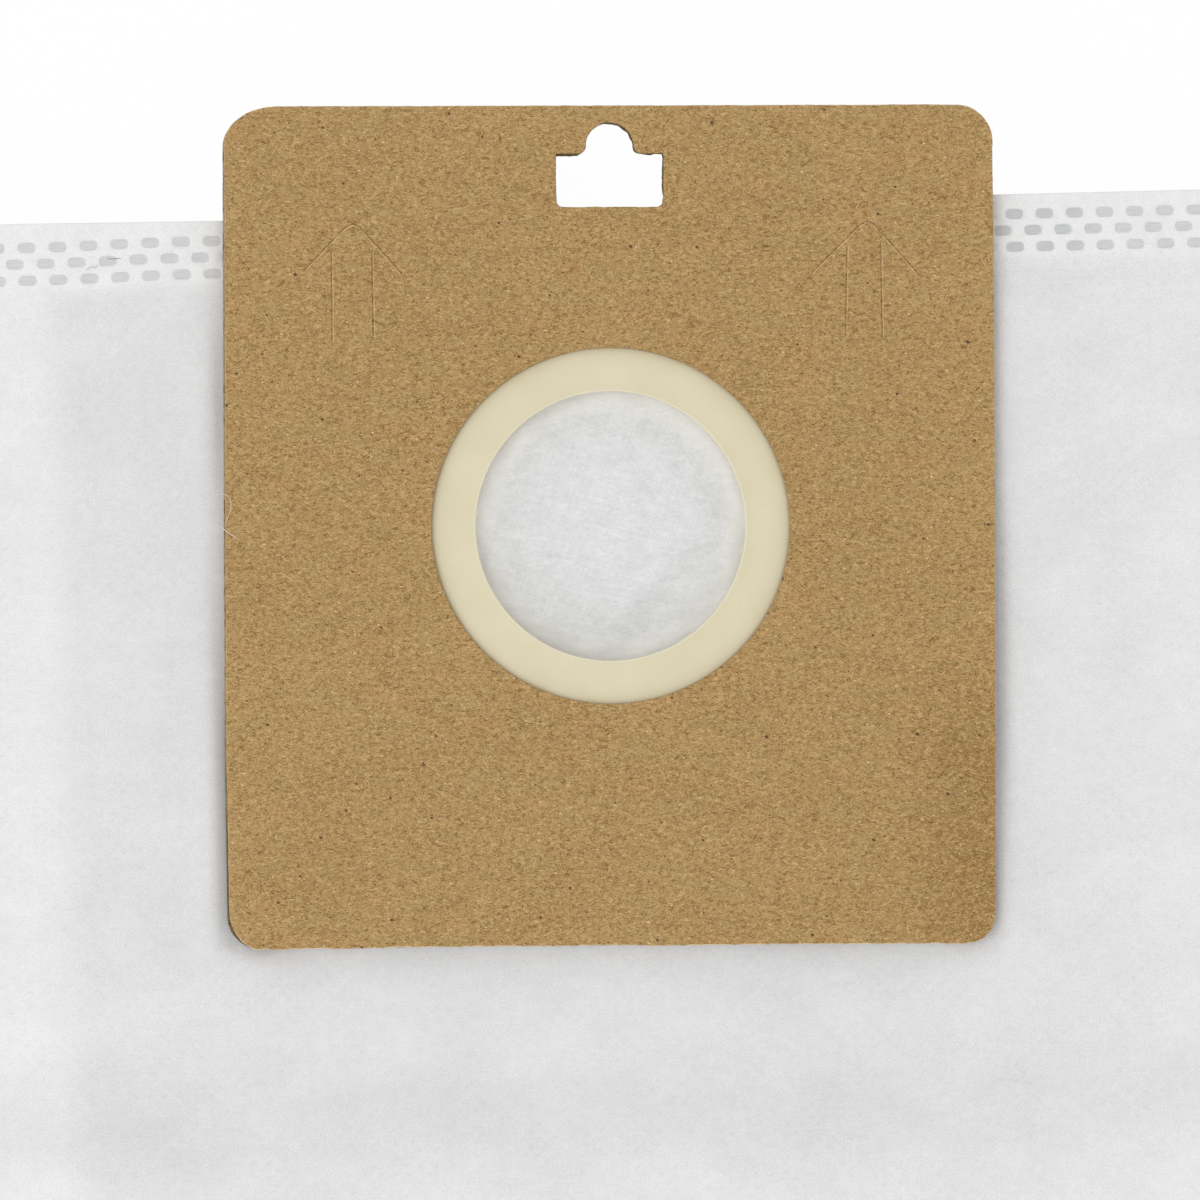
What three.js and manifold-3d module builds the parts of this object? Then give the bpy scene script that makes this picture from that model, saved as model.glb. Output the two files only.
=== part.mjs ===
// Vacuum cleaner dust bag, new and lying flat on its back, with its collar facing up (+Z).
// Millimetres. +Y runs towards the collar's notch, +X to the right of somebody looking down
// on the collar. The bag is a tube of two plies, an outer ply and a fleece liner, with a
// pleat down each side and a flat weld across each end. The collar is two boards with a
// rubber membrane between them, glued on round the hole in the bag's front panel.

import * as THREE from "three";
import * as BufferGeometryUtils from "three/addons/utils/BufferGeometryUtils.js";
import Module from "manifold-3d";

const wasm = await Module();
wasm.setup();

// Collar boards
const cardWidth = 100;
const cardHeight = 109;
const frontCardThickness = 0.9;
const rearCardThickness = 1.1;
const frontCorners = {
  topLeft: [7, 4.8],
  topRight: [4.7, 4.7],
  bottomRight: [3.8, 3.8],
  bottomLeft: [4, 4],
};
const rearCornerRadius = 4.2;
const rearCardShift = 0.3; // the rear board was stuck on a little to the left
const frontWindowDiameter = 46.2;
const rearWindowDiameter = 44;
const glueLine = 0.1; // between the faces of the collar's layers

// Positioning notch: a slot with a dome on top, through both boards
const notchWidth = 14;
const notchHeight = 6.8;
const notchShoulderDepth = 6.3; // from the collar's top edge
const notchCornerRadius = 0.7;
const domeRadius = 3.1;
const domeFillet = 1;

// Two arrows creased into the front board, pointing at its top edge
const arrowSpacing = 66.8;
const arrowTipDepth = 15; // from the collar's top edge
const arrowHeadWidth = 13.2;
const arrowHeadHeight = 6.6;
const arrowTipRadius = 1.2;
const arrowShaftWidth = 4.9;
const arrowShaftTop = 2.9; // below the tip
const arrowShaftLength = 12;
const creaseWidth = 0.25;
const creaseDepth = 0.15;

// Sealing membrane, held by its rim in a recess pressed into the rear board
const membraneThickness = 0.4;
const membraneHoleDiameter = 35;
const membraneRim = 6; // hidden behind the front board
const recessClearance = 0.3;

// Bag
const bagWidth = 210;
const bagLength = 235;
const pleatDepth = 35;
const outerPly = 0.4;
const linerPly = 0.6;
const plyGap = 0.3; // between the outer ply and the liner
const pocketGap = 0.9; // inside each half of a pleat, between its leaf and the panel
const pleatGap = 1; // between the two leaves of a pleat
const bagHoleDiameter = 45;
const bagTurn = 1.36; // degrees, from the collar's axes
const bagEdgeDepth = 13.2; // from the collar's top edge to the bag's, on the middle line
const collarGap = 0.3; // between the rear board and the bag

// Welded ends, with three rows of pressed dashes
const weldBand = 8.5;
const weldHeight = 1.6;
const shoulderLength = 10; // over which the body closes down to the weld
const topWeldDrop = 0.3; // from the front panel down to the weld, which lies close behind the collar
const bottomWeldLift = 2.2; // from the surface the bag lies on up to the weld
const dashLength = 2.3;
const dashWidth = 1.25;
const dashDepth = 0.2;
const dashPitch = 3.9;
const dashRows = 3;
const dashRowPitch = 2.07;
const dashFirstRow = 3; // from the bag's edge
const dashStagger = 0.63; // of the pitch, for every second row
const dashSideMargin = 4;

// Shape of the front panel
const collarDip = 0.5; // beside and below the collar, which holds the panel up
const collarDipReach = 9;
const packingDip = 0.4; // where the bag was folded across to be packed
const packingDipReach = 6;
const pleatRise = 0.4; // where the pleat's leaves lie under the panel
const pleatRiseSlope = 5;
const edgeFade = 9; // the front panel is level again this far inside its side folds

// Fineness of the round stretches
const cornerSteps = 6;
const circleSteps = 48;
const domeSteps = 12;
const filletSteps = 4;
const lobeSteps = 3;
const pleatSteps = 2;
const panelColumns = 14;
const backColumns = 2;
const shoulderSteps = 4;
const packingRows = [-2.2, -1.2, -0.5, 0, 0.5, 1.2, 2.2]; // in reaches of the dip
const mergeDistance = 1e-4;

// Derived sizes
const wall = outerPly + plyGap + linerPly;
const bodyHeight = 4 * wall + 2 * pocketGap + pleatGap;
const middle = bodyHeight / 2;
const lobeRadius = (bodyHeight - pleatGap) / 4;
const pleatFold = bagWidth / 2 - pleatDepth;
const weldSquash = weldHeight / bodyHeight;
const topWeldLevel = bodyHeight - topWeldDrop - weldHeight / 2;
const bottomWeldLevel = bottomWeldLift + weldHeight / 2;
const cardTop = cardHeight / 2;
const bagTop = cardTop - bagEdgeDepth;
const rearCardLevel = bodyHeight + collarGap;
const frontCardLevel = rearCardLevel + rearCardThickness + glueLine;
const membraneLevel = frontCardLevel - glueLine - membraneThickness;
const recessDepth = membraneThickness + glueLine;
const membraneRadius = frontWindowDiameter / 2 + membraneRim;

const kraft = { color: 0xad8d60, roughness: 0.9, metalness: 0 };
const finishes = {
  front_card: kraft,
  rear_card: { ...kraft, color: 0x94805c },
  seal_membrane: { color: 0xdbd3b6, roughness: 0.45, metalness: 0 },
  outer_bag: { color: 0xe8e8e8, roughness: 0.85, metalness: 0 },
  inner_liner: { color: 0xededed, roughness: 0.95, metalness: 0 },
};

// Points of an arc of an ellipse, angles in quarter turns.
function arc(x, y, [radiusX, radiusY], from, to, steps) {
  return Array.from({ length: steps + 1 }, (_, i) => {
    const angle = (Math.PI / 2) * (from + ((to - from) * i) / steps);
    return new THREE.Vector2(x + radiusX * Math.cos(angle), y + radiusY * Math.sin(angle));
  });
}

function circle(radius) {
  return arc(0, 0, [radius, radius], 0, 4, circleSteps).slice(0, -1);
}

function cardOutline({ topLeft, topRight, bottomRight, bottomLeft }) {
  const right = cardWidth / 2;
  const corner = (radii, signX, signY, from) =>
    arc(signX * (right - radii[0]), signY * (cardTop - radii[1]), radii, from, from + 1, cornerSteps);
  return [
    ...corner(topRight, 1, 1, 0),
    ...corner(topLeft, -1, 1, 1),
    ...corner(bottomLeft, -1, -1, 2),
    ...corner(bottomRight, 1, -1, 3),
  ];
}

function notchOutline() {
  const half = notchWidth / 2;
  const shoulder = cardTop - notchShoulderDepth;
  const bottom = shoulder - notchHeight;
  const dome = shoulder + domeFillet;
  const foot = [notchCornerRadius, notchCornerRadius];
  const fillet = [domeFillet, domeFillet];
  const footX = half - notchCornerRadius;
  const footY = bottom + notchCornerRadius;
  const filletX = domeRadius + domeFillet;
  return [
    ...arc(footX, footY, foot, 3, 4, filletSteps),
    new THREE.Vector2(half, shoulder),
    ...arc(filletX, dome, fillet, 3, 2, filletSteps),
    ...arc(0, dome, [domeRadius, domeRadius], 0, 2, domeSteps).slice(1, -1),
    ...arc(-filletX, dome, fillet, 0, -1, filletSteps),
    new THREE.Vector2(-half, shoulder),
    ...arc(-footX, footY, foot, 2, 3, filletSteps),
  ];
}

// A band of even width along a line of points, as an outline.
function band(points, width) {
  const sides = points.map((point, i) => {
    const before = points[Math.max(i - 1, 0)];
    const after = points[Math.min(i + 1, points.length - 1)];
    const along = after.clone().sub(before).normalize();
    const across = new THREE.Vector2(-along.y, along.x).multiplyScalar(width / 2);
    return [point.clone().add(across), point.clone().sub(across)];
  });
  return [...sides.map((side) => side[0]), ...sides.map((side) => side[1]).reverse()];
}

// The three creased lines of one arrow: its head, with a rounded tip, and two shaft lines.
function arrowLines(x) {
  const tip = cardTop - arrowTipDepth;
  const slope = Math.atan2(arrowHeadHeight, arrowHeadWidth / 2);
  const lean = slope / (Math.PI / 2);
  const centre = tip - arrowTipRadius;
  const round = arc(x, centre, [arrowTipRadius, arrowTipRadius], 1 + lean, 1 - lean, filletSteps);
  const foot = tip - arrowHeadHeight;
  const shaftTop = tip - arrowShaftTop;
  const shaft = (side) => {
    const shaftX = x + (side * arrowShaftWidth) / 2;
    return [
      new THREE.Vector2(shaftX, shaftTop),
      new THREE.Vector2(shaftX, shaftTop - arrowShaftLength),
    ];
  };
  const head = [
    new THREE.Vector2(x - arrowHeadWidth / 2, foot),
    ...round,
    new THREE.Vector2(x + arrowHeadWidth / 2, foot),
  ];
  return [head, shaft(-1), shaft(1)];
}

function plate(outline, thickness, holes = []) {
  const shape = new THREE.Shape(outline);
  shape.holes = holes.map((points) => new THREE.Path(points));
  return new THREE.ExtrudeGeometry(shape, { depth: thickness, bevelEnabled: false });
}

// Solids: three.js geometry in and out of manifold-3d.
function solid(geometry) {
  const bare = geometry.clone();
  bare.deleteAttribute("normal");
  bare.deleteAttribute("uv");
  const merged = BufferGeometryUtils.mergeVertices(bare, mergeDistance);
  const vertProperties = new Float32Array(merged.attributes.position.array);
  const triVerts = new Uint32Array(merged.index.array);
  return new wasm.Manifold(new wasm.Mesh({ numProp: 3, vertProperties, triVerts }));
}

function meshOf(name, body) {
  const { numProp, numVert, vertProperties, triVerts } = body.getMesh();
  const positions = new Float32Array(numVert * 3);
  for (let i = 0; i < numVert; i++) {
    positions.set(vertProperties.subarray(i * numProp, i * numProp + 3), i * 3);
  }
  const geometry = new THREE.BufferGeometry();
  geometry.setAttribute("position", new THREE.BufferAttribute(positions, 3));
  geometry.setIndex(new THREE.BufferAttribute(triVerts, 1));
  geometry.computeVertexNormals();
  const mesh = new THREE.Mesh(geometry, new THREE.MeshStandardMaterial(finishes[name]));
  mesh.name = name;
  return mesh;
}

function frontCard() {
  const board = solid(
    plate(cardOutline(frontCorners), frontCardThickness, [
      circle(frontWindowDiameter / 2),
      notchOutline(),
    ]),
  );
  const lines = [-1, 1].flatMap((side) => arrowLines((side * arrowSpacing) / 2));
  const creased = lines.reduce((card, line) => {
    const groove = plate(band(line, creaseWidth), creaseDepth * 2);
    groove.translate(0, 0, frontCardThickness - creaseDepth);
    return card.subtract(solid(groove));
  }, board);
  const mesh = meshOf("front_card", creased);
  mesh.position.z = frontCardLevel;
  return mesh;
}

function rearCard() {
  const radii = [rearCornerRadius, rearCornerRadius];
  const corners = { topLeft: radii, topRight: radii, bottomRight: radii, bottomLeft: radii };
  const shift = (points) => points.map((point) => point.clone().setX(point.x - rearCardShift));
  const board = solid(
    plate(shift(cardOutline(corners)), rearCardThickness, [
      circle(rearWindowDiameter / 2),
      shift(notchOutline()),
    ]),
  );
  const recess = plate(circle(membraneRadius + recessClearance), recessDepth * 2);
  recess.translate(0, 0, rearCardThickness - recessDepth);
  const mesh = meshOf("rear_card", board.subtract(solid(recess)));
  mesh.position.z = rearCardLevel;
  return mesh;
}

function sealMembrane() {
  const inner = membraneHoleDiameter / 2;
  const profile = [
    new THREE.Vector2(inner, 0),
    new THREE.Vector2(membraneRadius, 0),
    new THREE.Vector2(membraneRadius, membraneThickness),
    new THREE.Vector2(inner, membraneThickness),
    new THREE.Vector2(inner, 0),
  ];
  const turned = new THREE.LatheGeometry(profile, circleSteps);
  turned.rotateX(Math.PI / 2);
  const mesh = meshOf("seal_membrane", solid(turned));
  mesh.position.z = membraneLevel;
  return mesh;
}

// How far the front panel stands above or below its plain level. "along" runs down the bag
// from its top edge.
function frontLift(across, along) {
  const { smoothstep } = THREE.MathUtils;
  const side = Math.abs(across);
  const overPleat = smoothstep(side, pleatFold - pleatRiseSlope, pleatFold + pleatRiseSlope);
  const besideCollar = smoothstep(side, cardWidth / 2, cardWidth / 2 + collarDipReach);
  const collarEnd = bagTop + cardTop;
  const belowCollar = smoothstep(along, collarEnd, collarEnd + collarDipReach);
  const fromFold = (along - bagLength / 2) / packingDipReach;
  const dips =
    collarDip * Math.max(besideCollar, belowCollar) + packingDip * Math.exp(-fromFold * fromFold);
  const sideFold = bagWidth / 2 - lobeRadius;
  const inside = 1 - smoothstep(side, sideFold - edgeFade, sideFold);
  return (pleatRise * overPleat - dips) * inside;
}

// Right half of the tube's section, from its front middle round the pleat to its back middle,
// as [across, height, on the front panel], drawn this far inside the outer ply's face.
function halfSection(inset) {
  const lobe = lobeRadius - inset;
  const fold = pleatGap / 2 + inset;
  const lobeX = bagWidth / 2 - lobeRadius;
  const foldX = pleatFold + pleatGap / 2;
  const frontColumns = panelColumns / 2;
  const points = [];
  for (let i = 0; i <= frontColumns; i++) {
    points.push([(lobeX * i) / frontColumns, bodyHeight - inset, true]);
  }
  const plain = (outline) => outline.map((point) => [point.x, point.y, false]);
  points.push(...plain(arc(lobeX, bodyHeight - lobeRadius, [lobe, lobe], 1, -1, lobeSteps).slice(1)));
  points.push(...plain(arc(foldX, middle, [fold, fold], 1, 3, pleatSteps)));
  points.push(...plain(arc(lobeX, lobeRadius, [lobe, lobe], 1, -1, lobeSteps)));
  for (let i = 1; i <= backColumns / 2; i++) {
    points.push([lobeX * (1 - (2 * i) / backColumns), inset, false]);
  }
  return points;
}

// Height of a point of the section at a distance along the bag. Towards each end the whole
// section closes like a pillow, down to the height and level of the weld.
function heightAt(height, along) {
  const nearTop = along < bagLength / 2;
  const fromEnd = nearTop ? along : bagLength - along;
  const open = THREE.MathUtils.clamp((fromEnd - weldBand) / shoulderLength, 0, 1);
  const rise = Math.sin((open * Math.PI) / 2);
  const level = THREE.MathUtils.lerp(nearTop ? topWeldLevel : bottomWeldLevel, middle, rise);
  return level + (height - middle) * THREE.MathUtils.lerp(weldSquash, 1, rise);
}

// Distances along the bag at which its section is drawn.
function sectionRows() {
  const shoulder = [];
  for (let i = 0; i <= shoulderSteps; i++) {
    shoulder.push(weldBand + (shoulderLength * i) / shoulderSteps);
  }
  const packing = packingRows.map((reach) => bagLength / 2 + reach * packingDipReach);
  const halfway = (shoulder.at(-1) + packing[0]) / 2;
  const upper = [0, ...shoulder, halfway];
  return [...upper, ...packing, ...upper.map((row) => bagLength - row).reverse()];
}

// A closed solid through the tube's section at the given rows.
function tube(inset, rows) {
  const right = halfSection(inset);
  const left = right.slice(1, -1).reverse();
  const section = [...right, ...left.map(([across, height, front]) => [-across, height, front])];
  const count = section.length;
  const positions = [];
  for (const along of rows) {
    for (const [across, height, front] of section) {
      const lift = front ? frontLift(across, along) : 0;
      positions.push(across, bagTop - along, heightAt(height + lift, along));
    }
  }
  const indices = [];
  for (let row = 0; row + 1 < rows.length; row++) {
    for (let i = 0; i < count; i++) {
      const next = (i + 1) % count;
      const here = row * count;
      const there = here + count;
      indices.push(here + i, there + i, here + next, here + next, there + i, there + next);
    }
  }
  const flat = section.map(([across, height]) => new THREE.Vector2(across, height));
  const cap = THREE.ShapeUtils.triangulateShape(flat, []);
  const last = (rows.length - 1) * count;
  for (const [a, b, c] of cap) {
    indices.push(a, c, b, last + a, last + b, last + c);
  }
  const geometry = new THREE.BufferGeometry();
  geometry.setAttribute("position", new THREE.BufferAttribute(new Float32Array(positions), 3));
  geometry.setIndex(indices);
  return solid(geometry);
}

// A plug through the front panel where its hole is cut.
function holePlug() {
  const plug = plate(circle(bagHoleDiameter / 2), bodyHeight);
  plug.translate(0, 0, middle);
  return solid(plug);
}

// The pressed dashes of one end, as the blocks that cut them.
function weldDashes(edge, inward, level) {
  const reach = bagWidth / 2 - dashSideMargin;
  const outline = [
    new THREE.Vector2(-dashLength / 2, -dashWidth / 2),
    new THREE.Vector2(dashLength / 2, -dashWidth / 2),
    new THREE.Vector2(dashLength / 2, dashWidth / 2),
    new THREE.Vector2(-dashLength / 2, dashWidth / 2),
  ];
  const face = level + weldHeight / 2;
  const dashes = [];
  for (let row = 0; row < dashRows; row++) {
    const y = edge + inward * (dashFirstRow + row * dashRowPitch);
    const start = -reach + dashLength / 2 + (row % 2) * dashStagger * dashPitch;
    for (let x = start; x <= reach - dashLength / 2; x += dashPitch) {
      const dash = plate(outline, dashDepth * 2);
      dash.translate(x, y, face - dashDepth);
      dashes.push(solid(dash));
    }
  }
  return dashes;
}

function outerBag(rows) {
  const dashes = [
    ...weldDashes(bagTop, -1, topWeldLevel),
    ...weldDashes(bagTop - bagLength, 1, bottomWeldLevel),
  ];
  const hollow = tube(outerPly, rows.slice(2, -2));
  const cuts = wasm.Manifold.union([hollow, holePlug(), ...dashes]);
  return meshOf("outer_bag", tube(0, rows).subtract(cuts));
}

// The liner is a tube open at both ends, which the welds close on the real bag.
function innerLiner(rows) {
  const cuts = tube(wall, rows.slice(2, -2)).add(holePlug());
  return meshOf("inner_liner", tube(outerPly + plyGap, rows.slice(3, -3)).subtract(cuts));
}

const bag = new THREE.Group();
bag.rotation.z = THREE.MathUtils.degToRad(bagTurn);
const rows = sectionRows();
bag.add(outerBag(rows), innerLiner(rows));

const dustBag = new THREE.Group();
dustBag.add(frontCard(), rearCard(), sealMembrane(), bag);

// The origin is under the middle of the whole, on the surface it lies on.
const bounds = new THREE.Box3().setFromObject(dustBag, true);
const centre = bounds.getCenter(new THREE.Vector3());
dustBag.position.set(-centre.x, -centre.y, -bounds.min.z);
dustBag.updateMatrixWorld(true);

export default dustBag;
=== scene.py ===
# %% [markdown]
# # A vacuum cleaner's dust bag, flat as it comes out of its box
# The bag is a tube of white non-woven fabric with a pleat folded in down each side and a flat
# weld across each end. A collar of brown kraft board is glued on round the inlet, with a
# cream rubber membrane in it that seals on the machine's pipe. We look straight down on it.
#
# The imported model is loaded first. Every piece made here stands on that frame, in metres, so
# nothing has to be fitted later.

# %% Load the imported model
import math

import bpy
import numpy as np
from mathutils.geometry import delaunay_2d_cdt
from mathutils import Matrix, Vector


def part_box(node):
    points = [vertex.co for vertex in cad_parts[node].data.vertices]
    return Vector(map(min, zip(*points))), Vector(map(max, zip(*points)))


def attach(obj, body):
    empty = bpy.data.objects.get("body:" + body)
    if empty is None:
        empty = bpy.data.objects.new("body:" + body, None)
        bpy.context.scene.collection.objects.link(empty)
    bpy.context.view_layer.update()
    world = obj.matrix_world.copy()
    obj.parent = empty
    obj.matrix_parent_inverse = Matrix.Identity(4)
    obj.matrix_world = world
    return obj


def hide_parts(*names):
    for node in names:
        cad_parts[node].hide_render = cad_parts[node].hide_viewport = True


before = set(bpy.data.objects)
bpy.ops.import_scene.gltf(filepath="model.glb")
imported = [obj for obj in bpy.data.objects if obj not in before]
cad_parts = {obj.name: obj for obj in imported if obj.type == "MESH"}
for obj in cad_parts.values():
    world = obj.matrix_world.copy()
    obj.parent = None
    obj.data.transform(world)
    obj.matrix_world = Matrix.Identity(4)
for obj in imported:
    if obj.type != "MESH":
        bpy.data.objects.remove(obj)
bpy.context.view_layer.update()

# %% [markdown]
# ## Two sets of axes
# The collar was glued on a little askew, as such collars are, so the bag's axes are turned
# against the collar's. Both start at the inlet's centre. Every shape below is worked out in
# millimetres on one set of axes or the other, and put into the frame by one of two functions.

# %% Places on the collar and on the bag
MM = 0.001
BAG_TURN = math.radians(1.36)

board_low, board_high = (np.array(corner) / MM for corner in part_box("front_card"))
rear_low, rear_high = (np.array(corner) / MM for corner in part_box("rear_card"))
membrane_low, membrane_high = (np.array(corner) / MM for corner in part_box("seal_membrane"))
bag_high = np.array(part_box("outer_bag")[1]) / MM

BOARD_WIDTH, BOARD_HEIGHT = (board_high - board_low)[:2]
INLET = np.array([*(board_low + board_high)[:2] / 2, 0])


def on_collar(points):
    """Millimetres along the collar's axes to metres in the frame: move, then scale."""
    return (np.asarray(points, float) + INLET) * MM


def on_bag(points):
    """The same from the bag's axes: turn each point round the inlet, move, then scale."""
    across, up, height = np.asarray(points, float).T
    cosine, sine = math.cos(BAG_TURN), math.sin(BAG_TURN)
    turned = np.column_stack([across * cosine - up * sine, across * sine + up * cosine, height])
    return on_collar(turned)


print("inlet centre in mm:", INLET.round(3), "board:", BOARD_WIDTH.round(1), BOARD_HEIGHT.round(1))

# %% [markdown]
# ## From arrays to a piece
# A piece is made of arrays of points and faces that numpy has worked out. Faces may have any
# number of corners, so a fine grid can meet a coarse one. Three kinds of extra data ride on
# the mesh: point attributes, which the finish reads as masks, a flat map of the cloth in
# millimetres, which keeps a woven or bonded pattern on the cloth as it goes round a fold, and
# a vertex group, which tells the Solidify modifier how thick the cloth is at each point.

# %% Make a piece, map it and give it thickness
def make_piece(name, points, faces, stands_for=()):
    """A mesh from points in metres and lists of corner numbers, riding on the frame."""
    mesh = bpy.data.meshes.new(name)
    mesh.from_pydata(points.tolist(), [], faces)
    mesh.shade_smooth()
    piece = bpy.data.objects.new(name, mesh)
    bpy.context.scene.collection.objects.link(piece)
    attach(piece, "root")
    if stands_for:
        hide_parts(*stands_for)
    print(f"{name}: {len(mesh.vertices)} points, {len(mesh.polygons)} faces")
    return piece


def add_mask(piece, name, values):
    """A number from the array for each point, for the finish to read."""
    layer = piece.data.attributes.new(name, "FLOAT", "POINT")
    layer.data.foreach_set("value", np.asarray(values, np.float32))


def add_cloth_map(piece, across, along, girth):
    """The cloth laid flat, in millimetres. Where a face spans the start of the tube's girth, its
    low corners move on by one girth, so that the map doesn't run backwards there."""
    mesh = piece.data
    corner_point = np.empty(len(mesh.loops), np.int32)
    mesh.loops.foreach_get("vertex_index", corner_point)
    first = np.empty(len(mesh.polygons), np.int32)
    mesh.polygons.foreach_get("loop_start", first)
    count = np.empty(len(mesh.polygons), np.int32)
    mesh.polygons.foreach_get("loop_total", count)
    u = across[corner_point]
    spread = np.maximum.reduceat(u, first) - np.minimum.reduceat(u, first)
    middle = np.repeat((np.maximum.reduceat(u, first) + np.minimum.reduceat(u, first)) / 2, count)
    u = u + girth * (np.repeat(spread > girth / 2, count) & (u < middle))
    flat = np.column_stack([u, along[corner_point]]).astype(np.float32)
    mesh.uv_layers.new(name="cloth").data.foreach_set("uv", flat.ravel())


def add_thickness(piece, thickness, share=None):
    """A Solidify modifier that thickens inwards. share, from 0 to 1 for each point, is sorted
    into twenty steps, since a vertex group takes one weight for many points at a time."""
    solidify = piece.modifiers.new("thickness", "SOLIDIFY")
    solidify.thickness = thickness * MM
    solidify.offset = -1
    if share is not None:
        group = piece.vertex_groups.new(name="thickness")
        twentieths = np.round(np.asarray(share) * 20).astype(int)
        for weight in np.unique(twentieths):
            group.add(np.flatnonzero(twentieths == weight).tolist(), weight / 20, "REPLACE")
        solidify.vertex_group = group.name


# %% [markdown]
# ## Shader maths as plain expressions
# A material is a graph of nodes, but its maths reads best as maths. A Signal stands for what
# comes out of a node's socket, and adding or multiplying signals adds Math nodes. Finish is
# one material, with one method that adds any other node, and a few short words for the nodes
# that most finishes here use.

# %% Signals
class Signal:
    """What comes out of one socket. Arithmetic on signals and numbers adds Math nodes."""

    def __init__(self, finish, socket):
        self.finish = finish
        self.socket = socket

    def output(self, name):
        """Another output of the same node."""
        return Signal(self.finish, self.socket.node.outputs[name])

    def math(self, operation, *others):
        return self.finish.node("Math", {"operation": operation}, dict(enumerate([self, *others])))

    def __add__(self, other):
        return self.math("ADD", other)

    def __sub__(self, other):
        return self.math("SUBTRACT", other)

    def __rsub__(self, other):
        return self.finish.node("Math", {"operation": "SUBTRACT"}, {0: other, 1: self})

    def __mul__(self, other):
        return self.math("MULTIPLY", other)

    __radd__ = __add__
    __rmul__ = __mul__

    def cosine(self):
        return self.math("COSINE")

    def larger(self, other):
        return self.math("MAXIMUM", other)

    def between(self, low, high):
        """0 below low, 1 above high and a smooth step between them. low may be the larger."""
        return self.finish.node(
            "MapRange",
            {"interpolation_type": "SMOOTHSTEP"},
            {"Value": self, "From Min": low, "From Max": high},
        )


# %% Finishes
class Finish:
    """One material. Its nodes end in one Principled shader."""

    def __init__(self, name):
        self.material = bpy.data.materials.new(name)
        self.material.use_nodes = True
        self.tree = self.material.node_tree
        self.tree.nodes.clear()

    def node(self, kind, settings=None, inputs=None, output=0):
        """Add a node, set it up, then give its sockets values or links."""
        node = self.tree.nodes.new("ShaderNode" + kind)
        for key, value in (settings or {}).items():
            setattr(node, key, value)
        for key, value in (inputs or {}).items():
            if isinstance(value, Signal):
                self.tree.links.new(value.socket, node.inputs[key])
            else:
                node.inputs[key].default_value = value
        return Signal(self, node.outputs[output]) if node.outputs else None

    def place(self, centre):
        """Object coordinates in millimetres from a centre."""
        there = self.node("TexCoord", output="Object")
        location = tuple(side * MM for side in centre)
        inputs = {"Vector": there, "Location": location, "Scale": (MM, MM, MM)}
        return self.node("Mapping", {"vector_type": "TEXTURE"}, inputs)

    def stretch(self, place, longer, turn=0):
        """The same place turned, then made so many times longer along x, y and z."""
        inputs = {"Vector": place, "Rotation": (0, 0, turn), "Scale": tuple(longer)}
        return self.node("Mapping", {"vector_type": "TEXTURE"}, inputs)

    def noise(self, place, size, detail=2.0, roughness=0.5, distortion=0.0):
        """Clouds of about this size in the place's own units, from 0 to 1."""
        inputs = {
            "Vector": place,
            "Scale": 1 / size,
            "Detail": detail,
            "Roughness": roughness,
            "Distortion": distortion,
        }
        return self.node("TexNoise", None, inputs)

    def specks(self, place, spacing, radius, share):
        """Round specks, one in each cell of a Voronoi pattern at most. share is how many of the
        cells have one, and the cell's own random colour decides which do and how big it is."""
        cell = self.node(
            "TexVoronoi", {"voronoi_dimensions": "2D"}, {"Vector": place, "Scale": 1 / spacing}
        )
        channels = self.node("SeparateColor", None, {"Color": cell.output("Color")})
        chosen = channels.between(1 - share, 1 - share + 0.001)
        size = (channels.output("Green") * 0.7 + 0.3) * (radius / spacing)
        inside = (size - cell.output("Distance")) * (spacing / radius)
        return chosen * inside.between(0, 0.5)

    def lines(self, place, size, width, turn=0):
        """Short wavy strokes: where one noise passes through its middle value, cut into lengths
        by a second, coarser one. width is a share of the noise's range."""
        wavy = self.noise(self.stretch(place, (2.6, 1, 1), turn), size, 2, 0.55, 0.7)
        kept = self.noise(self.stretch(place, (1.5, 1, 1), turn), size * 1.3, 1)
        return (wavy - 0.5).math("ABSOLUTE").between(width, 0) * kept.between(0.44, 0.56)

    def blend(self, amount, first, second):
        """first where amount is 0 and second where it is 1, for colours."""
        inputs = {0: amount, 6: first, 7: second}
        return self.node("Mix", {"data_type": "RGBA"}, inputs, output=2)

    def mask(self, name):
        """One of the masks that ride on the mesh."""
        return self.node("Attribute", {"attribute_name": name}, output="Fac")

    def sides(self, place):
        """A place taken apart. The signal itself is its x, and its output Y is its y."""
        return self.node("SeparateXYZ", None, {"Vector": place})

    def from_axis(self, place):
        """Distance from the upright axis: the root of x squared plus y squared."""
        sides = self.sides(place)
        return (sides * sides + sides.output("Y") * sides.output("Y")).math("SQRT")

    def bump(self, height):
        """Tilt the surface as a height in millimetres would."""
        return self.node("Bump", None, {"Strength": 1, "Distance": MM, "Height": height})

    def end(self, **inputs):
        """Close the graph: a Principled shader with these sockets, by their names."""
        named = {key.replace("_", " "): value for key, value in inputs.items()}
        shader = self.node("BsdfPrincipled", None, named)
        self.node("OutputMaterial", None, {"Surface": shader})
        return self.material


def tone(red, green, blue):
    """A colour as a screen shows it, from 0 to 255, as the linear light that shaders take."""
    screen = np.array([red, green, blue]) / 255
    linear = np.where(screen > 0.04045, ((screen + 0.055) / 1.055) ** 2.4, screen / 12.92)
    return (*linear, 1)


# %% [markdown]
# ## Kraft board
# The collar is two layers of uncoated kraft board. Its pulp shows: wavy strokes a millimetre
# long that run across the board, short dark fibres, pale flecks, small dots and the odd chip.
# A photograph could be mapped on, but noise stretched across the board has no edges or
# repeats and works on the cut edges too. The thinnest strokes lie where a noise passes through
# its middle value. The finest grain lifts the surface by a few hundredths of a millimetre,
# which breaks up the light as the pulp does.

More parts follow.
